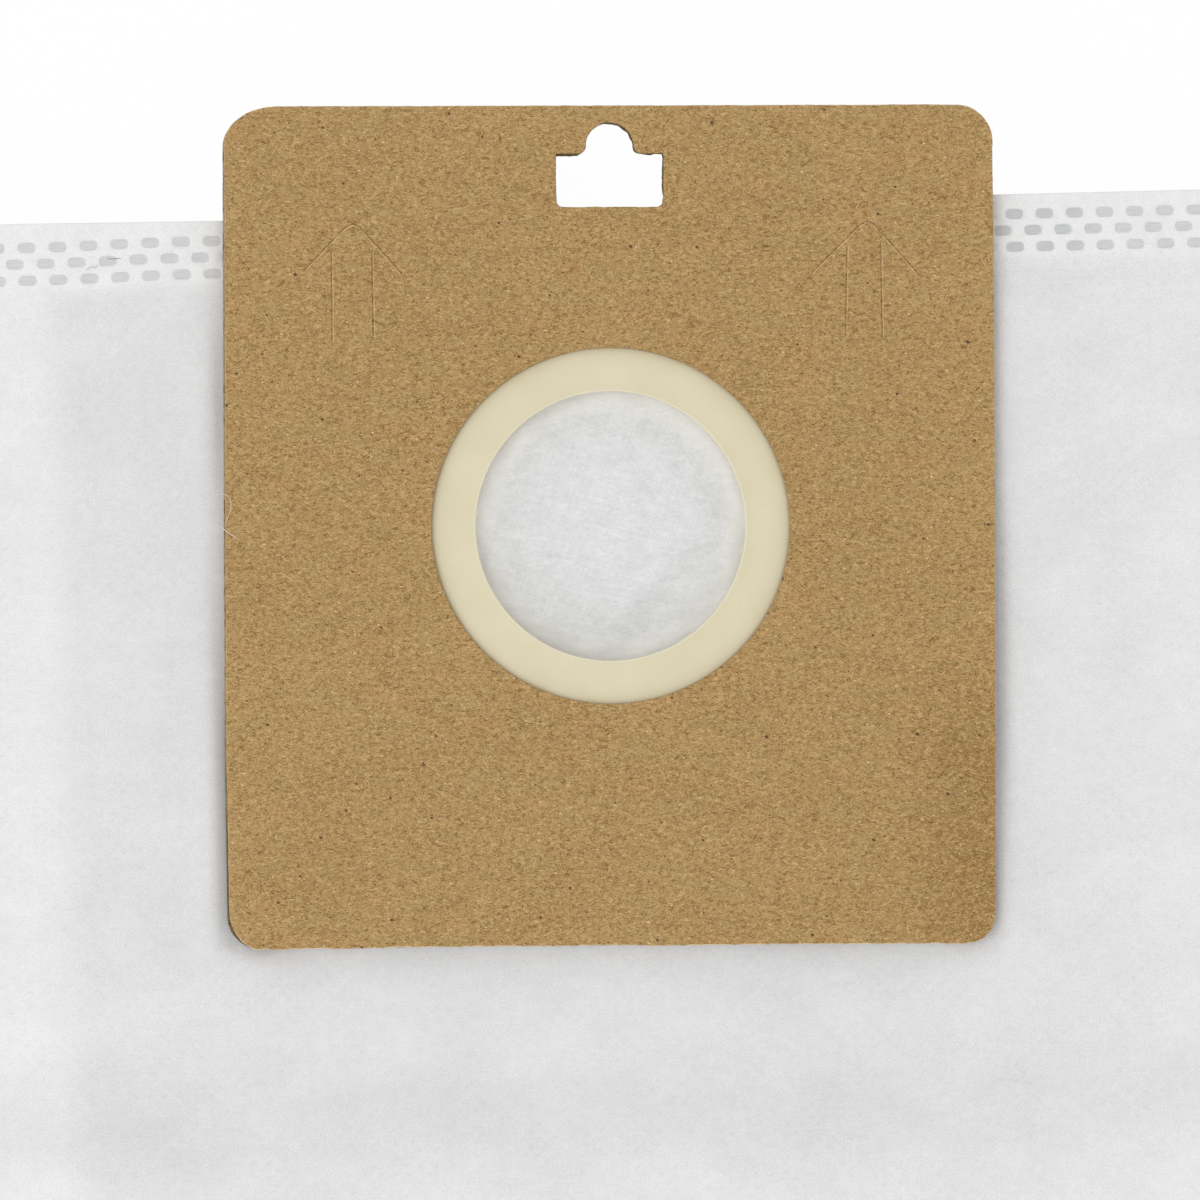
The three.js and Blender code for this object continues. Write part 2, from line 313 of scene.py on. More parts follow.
# %% The finish of the boards
def kraft_finish(name, dark, pale):
    """dark and pale are the two ends of the pulp's range, each as a pair of tones: one for
    where the pulp is redder and one for where it is greener. All lengths are in millimetres."""
    finish = Finish(name)
    place = finish.place(INLET)
    # The pulp, from its long strokes and fine grain up to broad clouds.
    strokes = finish.noise(finish.stretch(place, (2.6, 1, 1), 0.2), 0.17, 2, 0.6, 0.8)
    grain = finish.noise(finish.stretch(place, (1.5, 1, 1)), 0.12, 1, 0.6)
    patches = finish.noise(finish.stretch(place, (1.7, 1, 1)), 1.5, 3, 0.6)
    clouds = finish.noise(finish.stretch(place, (1.6, 1, 1)), 8, 2)
    hue = finish.noise(finish.stretch(place, (2, 1, 1)), 3.5, 3, 0.7) * 1.8 - 0.4
    light = (strokes - 0.5) * 0.3 + (grain - 0.5) * 1.1 + 0.475
    light = light + (patches - 0.5) * 0.1 + (clouds - 0.5) * 0.15
    # It is a little paler along its sides and top edge, and darker towards the lower right.
    sides = finish.sides(place)
    upward = sides.output("Y")
    rim = sides.math("ABSOLUTE").between(45, 49.5).larger(upward.between(50.5, 54))
    darker_lower_right = sides.between(34, 50) * upward.between(-14, -32)
    light = light + rim * 0.03 - darker_lower_right * 0.17
    dark_tone, pale_tone = finish.blend(hue, *dark), finish.blend(hue, *pale)
    colour = finish.blend(light, dark_tone, pale_tone)
    # Fibres: wavy lines both ways, then stretched specks for slivers, curls, chips and flecks.
    dark_lines = finish.lines(place, 0.46, 0.04, 0.22)
    dark_lines = dark_lines.larger(finish.lines(place, 0.36, 0.04, -0.3))
    pale_lines = finish.lines(place, 0.42, 0.04, 0.04)
    pale_lines = pale_lines.larger(finish.lines(place, 0.33, 0.035, -0.15))
    colour = finish.blend(dark_lines * 0.95, colour, dark_tone)
    colour = finish.blend(pale_lines * 0.85, colour, pale_tone)
    slivers = finish.specks(finish.stretch(place, (3, 1, 1), 0.3), 1.1, 0.09, 0.2)
    curls = finish.specks(finish.stretch(place, (3, 1, 1), -0.5), 1.3, 0.09, 0.2)
    chips = finish.specks(finish.stretch(place, (1.3, 1, 1), -0.5), 4.8, 0.27, 0.4)
    flecks = finish.specks(finish.stretch(place, (2, 1, 1), -0.1), 1.3, 0.1, 0.3)
    dots = finish.specks(finish.stretch(place, (1.2, 1, 1), 0.7), 2.4, 0.15, 0.3)
    colour = finish.blend(slivers.larger(curls) * 0.7, colour, tone(96, 70, 44))
    colour = finish.blend(chips.larger(dots) * 0.85, colour, tone(66, 50, 38))
    colour = finish.blend(flecks * 0.8, colour, tone(240, 218, 180))
    # The creases' two sides and the torn edges are painted where the pulp is patchy: painted shade
    # down each crease's groove, a painted highlight on its lip, and paler pulp on the torn edges.
    pressed = finish.mask("crease")
    broken = patches.between(0.36, 0.56) * 0.5 + 0.3
    colour = finish.blend(pressed.between(-0.15, -0.9) * broken * 0.75, colour, tone(84, 62, 36))
    colour = finish.blend(pressed.between(0.1, 0.9) * broken * 0.6, colour, tone(232, 206, 160))
    torn = finish.mask("torn")
    colour = finish.blend(torn * broken, colour, tone(232, 214, 184))
    bump = finish.bump((grain - 0.5) * 0.04)
    return finish.end(Base_Color=colour, Roughness=0.9, Specular_IOR_Level=0.2, Normal=bump)


board_material = kraft_finish(
    "kraft_board",
    (tone(114, 88, 40), tone(122, 86, 36)),
    (tone(206, 178, 124), tone(214, 174, 122)),
)
# Painted shade: the rear board's tones are darker than the front board's kraft, for the shaded
# slivers of it that show.
rear_shaded_material = kraft_finish(
    "rear_board",
    (tone(58, 50, 32), tone(62, 50, 32)),
    (tone(136, 120, 84), tone(140, 118, 82)),
)

# %% [markdown]
# ## Outlines
# The collar's outline, window and notch are lines and arcs. A die cut them out of fibrous
# board, so their edges aren't quite true: they wander by a few hundredths of a millimetre, and
# more at the bottom edge, where two nicks show. Each outline is a closed loop of points about
# one step apart, and the wander is a sum of sine waves along it.

# %% Arcs, straight lines and loops
def arc(centre, radii, start, stop, count):
    """Points on an ellipse: centre plus radii times cosine and sine. Angles in quarter turns."""
    angle = np.linspace(start, stop, count) * np.pi / 2
    return np.asarray(centre) + np.column_stack([np.cos(angle), np.sin(angle)]) * radii


def even_loop(corners, spacing):
    """The closed polygon through the corners, cut into pieces about one spacing long: each side
    is a straight blend of its two ends."""
    corners = np.asarray(corners)
    following = np.roll(corners, -1, axis=0)
    lengths = np.linalg.norm(following - corners, axis=1)
    counts = np.maximum(1, np.ceil(lengths / spacing)).astype(int)
    return np.concatenate(
        [a + (b - a) * np.linspace(0, 1, n, endpoint=False)[:, None]
         for a, b, n in zip(corners, following, counts)]
    )


def outward(loop):
    """Unit normals of a loop: the line from each point's neighbour before to the one after,
    turned by a quarter."""
    along = np.roll(loop, -1, axis=0) - np.roll(loop, 1, axis=0)
    normal = np.column_stack([along[:, 1], -along[:, 0]])
    return normal / np.linalg.norm(normal, axis=1)[:, None]


def waves(places, seed, count, shortest, longest):
    """Soft random hills between about -1 and 1: the mean of plane sine waves of random length,
    direction and phase, made equally strong."""
    rng = np.random.default_rng(seed)
    length = np.exp(rng.uniform(np.log(shortest), np.log(longest), count))
    angle = rng.uniform(0, 2 * np.pi, count)
    phase = rng.uniform(0, 2 * np.pi, count)
    direction = np.column_stack([np.cos(angle), np.sin(angle)]) * (2 * np.pi / length)[:, None]
    return np.sin(np.asarray(places) @ direction.T + phase).sum(-1) / math.sqrt(count)


# %% [markdown]
# ## The collar's front board
# The board is a plate 0.9 mm thick. A profile of six points goes round every outline: in from
# the face, over a small soft edge, down the cut and under. The two faces inside that profile
# have a window, a notch and the creases in them, which a grid can't follow, so they are
# triangulated between their outlines by Blender's constrained Delaunay routine.
#
# The arrows are creased into the board, not printed. A blunt die leaves a groove with a
# slightly raised lip on its right. Each line of an arrow is a narrow closed strip in the face,
# with a line along its lip and one along the bottom of its groove. The finish darkens the
# groove as painted shade and lightens the lip as a painted highlight.

# %% Outlines of the board
EDGE_STEP = 0.55
FRONT_CORNERS = [(4.7, 4.7), (7, 4.8), (4.1, 5.2), (3.8, 3.8)]
REAR_CORNERS = [(4.7, 4.7), (7.6, 5.2), (4.3, 4.3), (4.2, 4.2)]
WINDOW_RADII, WINDOW_CENTRE = (23.32, 23.15), (0.04, 0)
NOTCH_WIDTH, NOTCH_HEIGHT = 13.9, 6.95
NOTCH_SHOULDER, NOTCH_ASIDE = 6.15, 0.08
NOTCH_FOOT = 0.9
DOME, DOME_FILLET = 3.1, 1.0
right, top = BOARD_WIDTH / 2, BOARD_HEIGHT / 2


def board_outline(corners):
    """Four quarter ellipses with the radii of the corners, joined by straight sides."""
    ends = []
    for quarter, radii in enumerate(np.array(corners)):
        sign = np.array([(1, 1), (-1, 1), (-1, -1), (1, -1)][quarter])
        ends.append(arc(sign * ((right, top) - radii), radii, quarter, quarter + 1, 14))
    return even_loop(np.concatenate(ends), EDGE_STEP)


def notch_outline():
    """A slot with rounded lower corners, and a dome on it that runs out in small fillets."""
    half = NOTCH_WIDTH / 2
    shoulder = top - NOTCH_SHOULDER
    foot = shoulder - NOTCH_HEIGHT + NOTCH_FOOT
    dome = shoulder + DOME_FILLET
    side = DOME + DOME_FILLET
    loop = [
        arc((half - NOTCH_FOOT, foot), NOTCH_FOOT, 3, 4, 7),
        [[half, shoulder]],
        arc((side, dome), DOME_FILLET, 3, 2, 8),
        arc((0, dome), DOME, 0, 2, 26)[1:-1],
        arc((-side, dome), DOME_FILLET, 0, -1, 8),
        [[-half, shoulder]],
        arc((-half + NOTCH_FOOT, foot), NOTCH_FOOT, 2, 3, 7),
    ]
    return even_loop(np.concatenate(loop), EDGE_STEP)


# %% Worn edges
def rough(loop, seed, amount):
    """Push each point along its normal by random waves."""
    wander = waves(loop, seed, 10, 0.9, 7) * 0.6 + waves(loop, seed + 1, 8, 9, 40) * 0.4
    return loop + outward(loop) * (wander * amount)[:, None]


# Each bow: places along a side, and how far the side lies out of true there.
LEFT_BOW = ([-54, -48, -29, 0, 54], [0.3, 0.24, 0, 0, 0.05])
RIGHT_BOW = ([-54, -48, -29, 10, 29, 54], [-0.2, -0.17, -0.05, -0.06, -0.09, -0.2])
TOP_BOW = ([-46, 46], [0.17, 0.03])
BOTTOM_BOW = ([-46, -40, -20, 18, 46], [-0.35, -0.31, -0.1, 0.05, 0.03])
# Each nick: its place along the bottom edge, its width and its depth.
NICKS = [(-44.9, 0.4, 0.16), (46.6, 0.4, 0.2)]


def bowed(loop):
    """The outline a little out of square: each side bent through a few measured places."""
    x, y = loop.T
    return loop + np.column_stack([
        np.where(x < 0, np.interp(y, *LEFT_BOW), np.interp(y, *RIGHT_BOW)),
        np.where(y > 0, np.interp(x, *TOP_BOW), np.interp(x, *BOTTOM_BOW)),
    ])


def worn_outline():
    """The front board's outline. Its bottom edge is rougher, and has two small nicks, each a
    bell curve."""
    loop = bowed(board_outline(FRONT_CORNERS))
    x, y = loop.T
    low = np.clip((-y - top + 2) / 2, 0, 1)
    loop = rough(loop, 3, 0.035 + 0.06 * low)
    for place, width, depth in NICKS:
        loop[:, 1] += low * depth * np.exp(-(((x - place) / width) ** 2))
    return loop


window = WINDOW_CENTRE + arc((0, 0), WINDOW_RADII, 4, 0, 261)[:-1]
notch = notch_outline()[::-1] + (NOTCH_ASIDE, 0)
outlines = [worn_outline(), rough(window, 11, 0.035), rough(notch, 17, 0.06)]
print("points on the outlines:", [len(loop) for loop in outlines])

# %% Creased arrows
# The middle lines of the creases, from the inlet's centre.
ARROWS = [
    {
        "head": [(-39.9, 33.1), (-34.3, 38.9), (-33.3, 39.4), (-32.4, 39.0), (-26.8, 32.7)],
        "left": [(-36.05, 23.8), (-36.1, 36.1)],
        "right": [(-30.7, 23.95), (-30.85, 36.2)],
    },
    {
        "head": [(26.1, 32.6), (32.5, 38.9), (33.6, 39.5), (34.6, 38.8), (40.4, 32.25)],
        "left": [(30.6, 24.4), (30.85, 36.5)],
        "right": [(35.4, 23.85), (35.2, 37.05)],
    },
]
# Sideways reach of a crease and place of its lip, leftwards, then lifts above the face.
CREASE_STEP = 0.45
CREASE_REACH = 0.12, -0.3
LIP_PLACE, LIP_LIFT = -0.2, 0.03
GROOVE_LIFT = -0.07


def even_line(corners, spacing):
    """Points one spacing apart along an open line, by interpolating on its length so far."""
    corners = np.asarray(corners, float)
    so_far = np.concatenate([[0], np.cumsum(np.linalg.norm(np.diff(corners, axis=0), axis=1))])
    places = np.linspace(0, so_far[-1], max(3, int(round(so_far[-1] / spacing))))
    return np.column_stack([np.interp(places, so_far, corners[:, side]) for side in (0, 1)])


def crease(corners):
    """One crease as three lines, each with its lift above the face and whether it is closed:
    its outer edge, a lip on its right and a groove. Each is the middle line moved sideways."""
    middle = even_line(corners, CREASE_STEP)
    forward = np.gradient(middle, axis=0)
    forward /= np.linalg.norm(forward, axis=1)[:, None]
    left = np.column_stack([-forward[:, 1], forward[:, 0]])
    left_edge, right_edge = (middle + left * reach for reach in CREASE_REACH)
    edge = np.concatenate([left_edge, right_edge[::-1]])
    return [
        (edge, 0.0, True),
        ((middle + left * LIP_PLACE)[1:-1], LIP_LIFT, False),
        (middle[1:-1], GROOVE_LIFT, False),
    ]


creases = [line for arrow in ARROWS for corners in arrow.values() for line in crease(corners)]
print("lines of the creases:", len(creases))

# %% The board's edge and its two faces
# Each profile: how far in from the outline, and how far below the face.
EDGE_PROFILE = [(0.16, 0.0), (0.07, -0.02), (0.02, -0.07), (0.0, -0.18), (0.0, -0.8), (0.08, -0.9)]
REAR_PROFILE = [(0.14, 0.0), (0.04, -0.03), (0.0, -0.12), (0.0, -1.0), (0.08, -1.1)]
RECESS_RADIUS, SEAT_WIDTH = 29.4, 7.4
RECESS_PROFILE = [(0.08, 0.0), (0.0, -0.08), (0.0, -0.5), (-SEAT_WIDTH, -0.5), (-SEAT_WIDTH, -1.1)]


def joined_rings(number):
    """Quads between the rings of a block of point numbers, each ring closed."""
    following = np.roll(number, -1, axis=1)
    quads = np.stack([number[:-1], number[1:], following[1:], following[:-1]], axis=-1)
    return quads.reshape(-1, 4)


def inside(places, loop):
    """Even-odd test: count how often a ray to the right of each place crosses the loop."""
    x, y = places[:, :1], places[:, 1:]
    x0, y0 = loop.T
    x1, y1 = np.roll(loop, -1, axis=0).T
    crosses = (y0 > y) != (y1 > y)
    slope = (x1 - x0) / np.where(y1 == y0, 1, y1 - y0)
    return ((crosses & (x < x0 + slope * (y - y0))).sum(1) % 2).astype(bool)


def face_between(loops, lines=()):
    """Triangles that fill the first loop apart from the others, with the lines in them."""
    parts = [(loop, True) for loop in loops] + list(lines)
    links = []
    start = 0
    for part, is_closed in parts:
        number = np.arange(start, start + len(part))
        pairs = np.column_stack([number, np.roll(number, -1)])
        links.append(pairs if is_closed else pairs[:-1])
        start += len(part)
    points = np.concatenate([part for part, _ in parts])
    result = delaunay_2d_cdt(points.tolist(), np.concatenate(links).tolist(), [], 0, 1e-6)
    assert len(result[0]) == len(points), "two outlines cross"
    triangles = np.array(result[2])
    middle = points[triangles].mean(1)
    outside = [inside(middle, loop) for loop in loops[1:]]
    return triangles[inside(middle, loops[0]) & ~np.any(outside, axis=0)]


# %% The whole plate
def board(height, loops, profiles, lines=()):
    """The whole plate: a profile carried round each outline, then the back and the face.
    Gives points, faces, how many faces are edge, and each point's lift by a crease."""
    rings, firsts, lasts, faces = [], [], [], []
    start = 0
    for loop, profile in zip(loops, profiles):
        normal = outward(loop)
        for inset, drop in profile:
            level = np.full(len(loop), height + drop)
            rings.append(np.column_stack([loop - normal * inset, level]))
        number = start + np.arange(len(profile) * len(loop)).reshape(len(profile), -1)
        start += number.size
        faces.append(joined_rings(number))
        firsts.append(number[0])
        lasts.append(number[-1])
    edge_count = sum(len(part) for part in faces)
    for line, lift, _ in lines:
        rings.append(np.column_stack([line, np.full(len(line), height + lift)]))
    points = np.concatenate(rings)
    face = face_between(
        [points[number, :2] for number in firsts], [(line, closed) for line, _, closed in lines]
    )
    back = face_between([points[number, :2] for number in lasts])
    faces.append(np.concatenate([*firsts, np.arange(start, len(points))])[face])
    faces.append(np.concatenate(lasts)[back[:, ::-1]])
    lifts = np.where(np.arange(len(points)) < start, 0, points[:, 2] - height)
    return points, [corners for part in faces for corners in part.tolist()], edge_count, lifts


plate = board(board_high[2], outlines, [EDGE_PROFILE] * 3, creases)
points, faces, edge_count, lifts = plate
collar_board = make_piece("collar_board", on_collar(points), faces, ("front_card",))
collar_board.data.polygons.foreach_set("use_smooth", np.arange(len(faces)) < edge_count)
# The sign of each point's lift: the finish paints shade where it lies below the face and a
# highlight where it lies above.
add_mask(collar_board, "crease", np.sign(lifts))
# The first two rings in from the outline show torn, paler pulp, most along the bottom edge.
ring = np.arange(len(points)) // len(outlines[0])
torn = np.clip(2 - top - points[:, 1], 0.3, 1)
add_mask(collar_board, "torn", ((ring == 1) | (ring == 2)) * torn)
collar_board.data.materials.append(board_material)

# %% [markdown]
# ## The board behind it
# A second board of the same size backs the first one. Its kraft is painted darker than the
# front board's, as painted shade: only thin slivers of it show, and they lie in the front
# board's shade. It is glued on a third of a millimetre too far left, so its edge shows as a thin
# line there and inside the notch. Its window is narrower and has a shallow seat round it, in
# which the membrane's rim lies. It is made in the same way: only its outlines and the profile
# of its window differ.

# %% The rear board
rear_aside = ((rear_low + rear_high) / 2 - INLET)[:2]
seat = arc((0, 0), RECESS_RADIUS, 4, 0, 201)[:-1]
REAR_NOTCH_TURN, REAR_NOTCH_ASIDE = math.radians(1.2), (-0.1, -0.13)
turn = np.array([
    [math.cos(REAR_NOTCH_TURN), math.sin(REAR_NOTCH_TURN)],
    [-math.sin(REAR_NOTCH_TURN), math.cos(REAR_NOTCH_TURN)],
])
notch_middle = notch.mean(0)
rear_notch = rough((notch - notch_middle) @ turn, 29, 0.12) + notch_middle + REAR_NOTCH_ASIDE
rear_outlines = [rough(bowed(board_outline(REAR_CORNERS)), 5, 0.03) + rear_aside, seat, rear_notch]
rear_profiles = [REAR_PROFILE, RECESS_PROFILE, REAR_PROFILE]
points, faces, edge_count, _ = board(rear_high[2], rear_outlines, rear_profiles)
backing_board = make_piece("backing_board", on_collar(points), faces, ("rear_card",))
backing_board.data.shade_flat()
# Its outer cut is paler than its face, apart from the lower end of its sides.
is_outer_edge = np.arange(len(points)) < len(rear_outlines[0]) * len(REAR_PROFILE)
add_mask(backing_board, "torn", is_outer_edge * np.interp(points[:, 1], [-46, -20], [0.05, 0.5]))
backing_board.data.materials.append(rear_shaded_material)

# %% [markdown]
# ## The sealing membrane
# A flat cream rubber ring is held between the boards, and only its inner part shows in the
# window. It is a profile turned round the inlet's axis: a thin sheet whose punched inner edge
# has a small raised lip, painted paler as a painted highlight, with a thin painted shade where
# the ring goes under the board. A little unevenness round the ring keeps it from looking machined.

# %% The membrane's shape
MEMBRANE_HOLE = 35
MEMBRANE_TURNS = 256
membrane_rim = (membrane_high[0] - membrane_low[0]) / 2
sheet_top, sheet_bottom = membrane_high[2], membrane_low[2]


def membrane_profile():
    """Radius and height round the section: over the top from the hole outwards, then back."""
    hole = MEMBRANE_HOLE / 2
    return np.array([
        (hole, sheet_bottom + 0.12),
        (hole + 0.02, sheet_top - 0.1),
        (hole + 0.09, sheet_top + 0.02),
        (hole + 0.2, sheet_top + 0.05),
        (hole + 0.34, sheet_top + 0.02),
        (hole + 0.55, sheet_top - 0.02),
        (hole + 2, sheet_top - 0.02),
        (21, sheet_top - 0.01),
        (membrane_rim - 0.1, sheet_top),
        (membrane_rim, sheet_top - 0.1),
        (membrane_rim, sheet_bottom + 0.1),
        (membrane_rim - 0.1, sheet_bottom),
        (21, sheet_bottom),
        (hole + 0.3, sheet_bottom),
        (hole + 0.06, sheet_bottom + 0.03),
    ])


def turned_ring(profile, turns):
    """The profile carried round the upright axis: radius times cosine and sine, and height."""
    angle = np.linspace(0, 2 * np.pi, turns, endpoint=False)
    radius, height = profile.T
    across = radius[None, :] * np.cos(angle)[:, None]
    up = radius[None, :] * np.sin(angle)[:, None]
    number = np.arange(turns * len(profile)).reshape(turns, -1)
    over = np.roll(number, -1, axis=0)
    corners = [number, np.roll(number, -1, axis=1), np.roll(over, -1, axis=1), over]
    quads = np.stack(corners, axis=-1)
    points = np.stack([across, up, np.broadcast_to(height, across.shape)], axis=-1)
    return points.reshape(-1, 3), quads[:, :, ::-1].reshape(-1, 4).tolist()


ring_points, ring_faces = turned_ring(membrane_profile(), MEMBRANE_TURNS)
ring_radius = np.linalg.norm(ring_points[:, :2], axis=1)
free = np.clip((21.5 - ring_radius) / 4, 0, 1)
ring_points[:, 2] += 0.05 * free * waves(ring_points[:, :2], 23, 6, 14, 40)
membrane = make_piece(
    "sealing_membrane", on_collar(ring_points), ring_faces, ("seal_membrane",)
)

# %% The finish of the membrane
finish = Finish("membrane_rubber")
place = finish.place(INLET)
clouds = finish.noise(place, 6, 3)
speckle = finish.noise(place, 0.5, 2)
colour = finish.blend(clouds.between(0.3, 0.7), tone(217, 208, 176), tone(221, 212, 182))
colour = finish.blend(finish.specks(place, 3.4, 0.14, 0.2) * 0.35, colour, tone(176, 160, 126))
radius = finish.from_axis(place)
# Painted highlight along the hole's lip, and painted shade in a thin ring where the membrane meets
# the window's edge.
lip = radius.between(17.85, 17.6)
rim_gap_shade = radius.between(22.95, 23.2)
colour = finish.blend(lip * 0.45, colour, tone(240, 234, 210))
colour = finish.blend(rim_gap_shade * 0.35, colour, tone(150, 132, 100))
height = (speckle - 0.5) * 0.012
bump = finish.bump(height)
membrane.data.materials.append(
    finish.end(Base_Color=colour, Roughness=0.42, Specular_IOR_Level=0.4, Normal=bump)
)

# %% [markdown]
# ## The bag as a tube
# Seen in section the bag is one closed line: across the front, round a side fold, in along the
# pleat to its inner fold, back out, round the lower side fold and across the back. Carried
# along the bag this line closes like a pillow towards both ends, where it is pressed flat in
# the welds. The front panel stands highest behind the collar, which holds it up, and sags
# beside it.
#
# A cloth simulation could fold such a bag, but the real one was folded and pressed by a
# machine, so the formula is closer to it than a random fall would be.

# %% Sizes of the bag
BAG_WIDTH, BAG_LENGTH = 210, 235
PLEAT_DEPTH = 35
PLEAT_GAP = 1.0
BAG_HOLE = 45
BAG_EDGE_DEPTH = 13.2
OUTER_PLY, LINER_PLY, PLY_GAP = 0.4, 0.6, 0.3
WELD_BAND, WELD_HEIGHT, SHOULDER = 8.5, 1.6, 10
TOP_WELD_DROP, BOTTOM_WELD_LIFT = 0.3, 2.2
PLEAT_RISE = 0.4
COLLAR_DIP, TROUGH, SIDE_TROUGH = 0.5, 0.9, 0.2
# Beside the collar, at these distances from the bag's top edge: how deep the gutter along
# the collar's edge is, and how high the puff outside it.
GUTTER_REACH = 1.2
SIDE_KNOTS = [12, 25, 38, 51, 70, 90]
LEFT_GUTTER = [0.7, 1.7, 0.5, 1.0, 0.8, 0.6]
LEFT_PUFF = [0.0, 0.0, 0.2, 0.1, 1.4, 1.2]
RIGHT_GUTTER = [-0.35, -0.3, 0.2, 1.0, 1.0, -0.35]
RIGHT_PUFF = [1.2, 1.1, 0.9, 0.5, 0.6, 1.4]
PACKING_DIP, PACKING_REACH = 0.4, 6

body_height = bag_high[2]
middle_height = body_height / 2
lobe_radius = (body_height - PLEAT_GAP) / 4
side_fold = BAG_WIDTH / 2 - lobe_radius
pleat_fold = BAG_WIDTH / 2 - PLEAT_DEPTH + PLEAT_GAP / 2
bag_top = top - BAG_EDGE_DEPTH
top_weld_level = body_height - TOP_WELD_DROP - WELD_HEIGHT / 2
bottom_weld_level = BOTTOM_WELD_LIFT + WELD_HEIGHT / 2
print("side fold and pleat fold from the middle:", side_fold.round(2), pleat_fold)


# %% Section, height and sag
def step(values, low, high):
    """Smooth step: 0 at low, 1 at high, level at both."""
    part = np.clip((values - low) / (high - low), 0, 1)
    return part * part * (3 - 2 * part)


def side_profile(inset):
    """The right side of the section, this far inside the outer ply's face: two side folds, two
    leaves and the pleat's inner fold, as arcs and straight lines of across and height."""
    lobe = lobe_radius - inset
    fold = PLEAT_GAP / 2 + inset
    leaf = np.linspace(0, 1, 9)[1:-1, None]
    upper = arc((side_fold, body_height - lobe_radius), lobe, 1, -1, 9)
    inner = arc((pleat_fold, middle_height), fold, 1, 3, 7)
    lower = arc((side_fold, lobe_radius), lobe, 1, -1, 9)
    return np.concatenate([
        upper[1:],
        upper[-1] + (inner[0] - upper[-1]) * leaf,
        inner,
        inner[-1] + (lower[0] - inner[-1]) * leaf,
        lower,
    ])


def section(front, back, inset):
    """The whole line round the bag: front from left to right, right side, back from right to
    left, left side. Also its length so far, which maps the cloth, and what is front or back."""
    side = side_profile(inset)
    mirrored = side[::-1] * [-1, 1]
    line = np.concatenate([
        np.column_stack([front, np.full(len(front), body_height - inset)]),
        side,
        np.column_stack([back, np.full(len(back), inset)]),
        mirrored,
    ])
    gaps = np.linalg.norm(np.roll(line, -1, axis=0) - line, axis=1)
    so_far = front[0] + np.concatenate([[0], np.cumsum(gaps)[:-1]])
    number = np.arange(len(line))
    is_front = number < len(front)
    first_back = len(front) + len(side)
    is_back = (number >= first_back) & (number < first_back + len(back))
    return line, so_far, gaps.sum(), is_front, is_back


# %% The front panel's form
def beside_collar(across, along):
    """How far a place on the bag lies outside the collar's outline, below 0 under it: the
    distance to a box."""
    x = across * math.cos(BAG_TURN) - (bag_top - along) * math.sin(BAG_TURN)
    y = across * math.sin(BAG_TURN) + (bag_top - along) * math.cos(BAG_TURN)
    out_x, out_y = np.abs(x) - right, np.abs(y) - top
    beyond = np.hypot(np.maximum(out_x, 0), np.maximum(out_y, 0))
    return beyond + np.minimum(np.maximum(out_x, out_y), 0)


def front_lift(across, along):
    """How far the front panel stands above or below its plain level, in the body. It rises over
    the pleats, dips and troughs round the collar, in smooth steps of the distance from it, has a
    gutter and a puff down each side, a packing fold across and soft hills."""
    side = np.abs(across)
    pleat = PLEAT_RISE * step(side, pleat_fold - 5.5, pleat_fold + 4.5)
    outside = beside_collar(across, along)
    dip = COLLAR_DIP * step(outside, -1.5, 7)
    beside = step(side, 40, 50)
    trough = (TROUGH + (SIDE_TROUGH - TROUGH) * beside) * step(outside, -2.5, 1.2)
    trough = trough * (1 - step(outside, 3 - 2 * beside, 18 - 7 * beside))
    left_gutter, left_puff, right_gutter, right_puff = (
        np.interp(along, SIDE_KNOTS, knots)
        for knots in (LEFT_GUTTER, LEFT_PUFF, RIGHT_GUTTER, RIGHT_PUFF)
    )
    gutter = np.where(across > 0, right_gutter, left_gutter) * beside
    gutter = gutter * np.exp(-((outside / GUTTER_REACH) ** 2))
    puff = np.where(across > 0, right_puff, left_puff) * beside
    puff = puff * step(outside, -0.1, 1.4) * (1 - step(outside, 5, 22))
    crossing = PACKING_DIP * np.exp(-(((along - BAG_LENGTH / 2) / PACKING_REACH) ** 2))
    places = np.stack([across, along], axis=-1)
    hills = 0.16 * waves(places, 31, 14, 16, 70) + 0.03 * waves(places, 37, 14, 5, 12)
    hills = hills * step(outside, -2, 10)
    inward = 1 - step(side, side_fold - 9, side_fold)
    return (pleat + puff - dip - trough - gutter - crossing + hills) * inward


def height_at(height, along):
    """Height of a point of the section at a distance from the top edge. The ramp is a quarter
    of a sine wave, and it moves the section's middle as well as its spread."""
    near_top = along < BAG_LENGTH / 2
    from_end = np.where(near_top, along, BAG_LENGTH - along)
    rise = np.sin(np.clip((from_end - WELD_BAND) / SHOULDER, 0, 1) * np.pi / 2)
    weld_level = np.where(near_top, top_weld_level, bottom_weld_level)
    level = weld_level + (middle_height - weld_level) * rise
    squash = WELD_HEIGHT / body_height
    return level + (height - middle_height) * (squash + (1 - squash) * rise)


# %% [markdown]
# ## The welds
# Each end is closed by an ultrasonic weld: three rows of pressed dashes, each row shifted
# against the next. The dashes are pressed flat and look greyer, and the fabric between them
# puffs up. A bump map would do from afar, but real dents keep their light at any distance.
# The rows of dashes need a much finer grid than the rest of the panel. So the grid there has
# three columns for each one of the panel, and its columns lean from row to row to lie along
# the dashes' ends.

# %% The pattern of dashes
DASH_LENGTH, DASH_WIDTH, DASH_DEPTH = 2.35, 1.3, 0.09
DASH_ROWS = np.array([2.6, 4.72, 6.88])
DASH_SHIFT = 0.61
DASH_MARGIN = 3.5
PITCHES = 52
# Places counted in pitches from the left fold, and in millimetres from the middle.
PITCH_KNOTS = ([0, 13, 39, 50, 52], [-side_fold, -50.88, 53.73, 96.95, side_fold])
# Where the fine grid has its columns, as shares of a pitch.
FINE_PARTS = np.array([0, 0.15, 0.245, 0.30, 0.36, 0.64, 0.70, 0.755, 0.85])
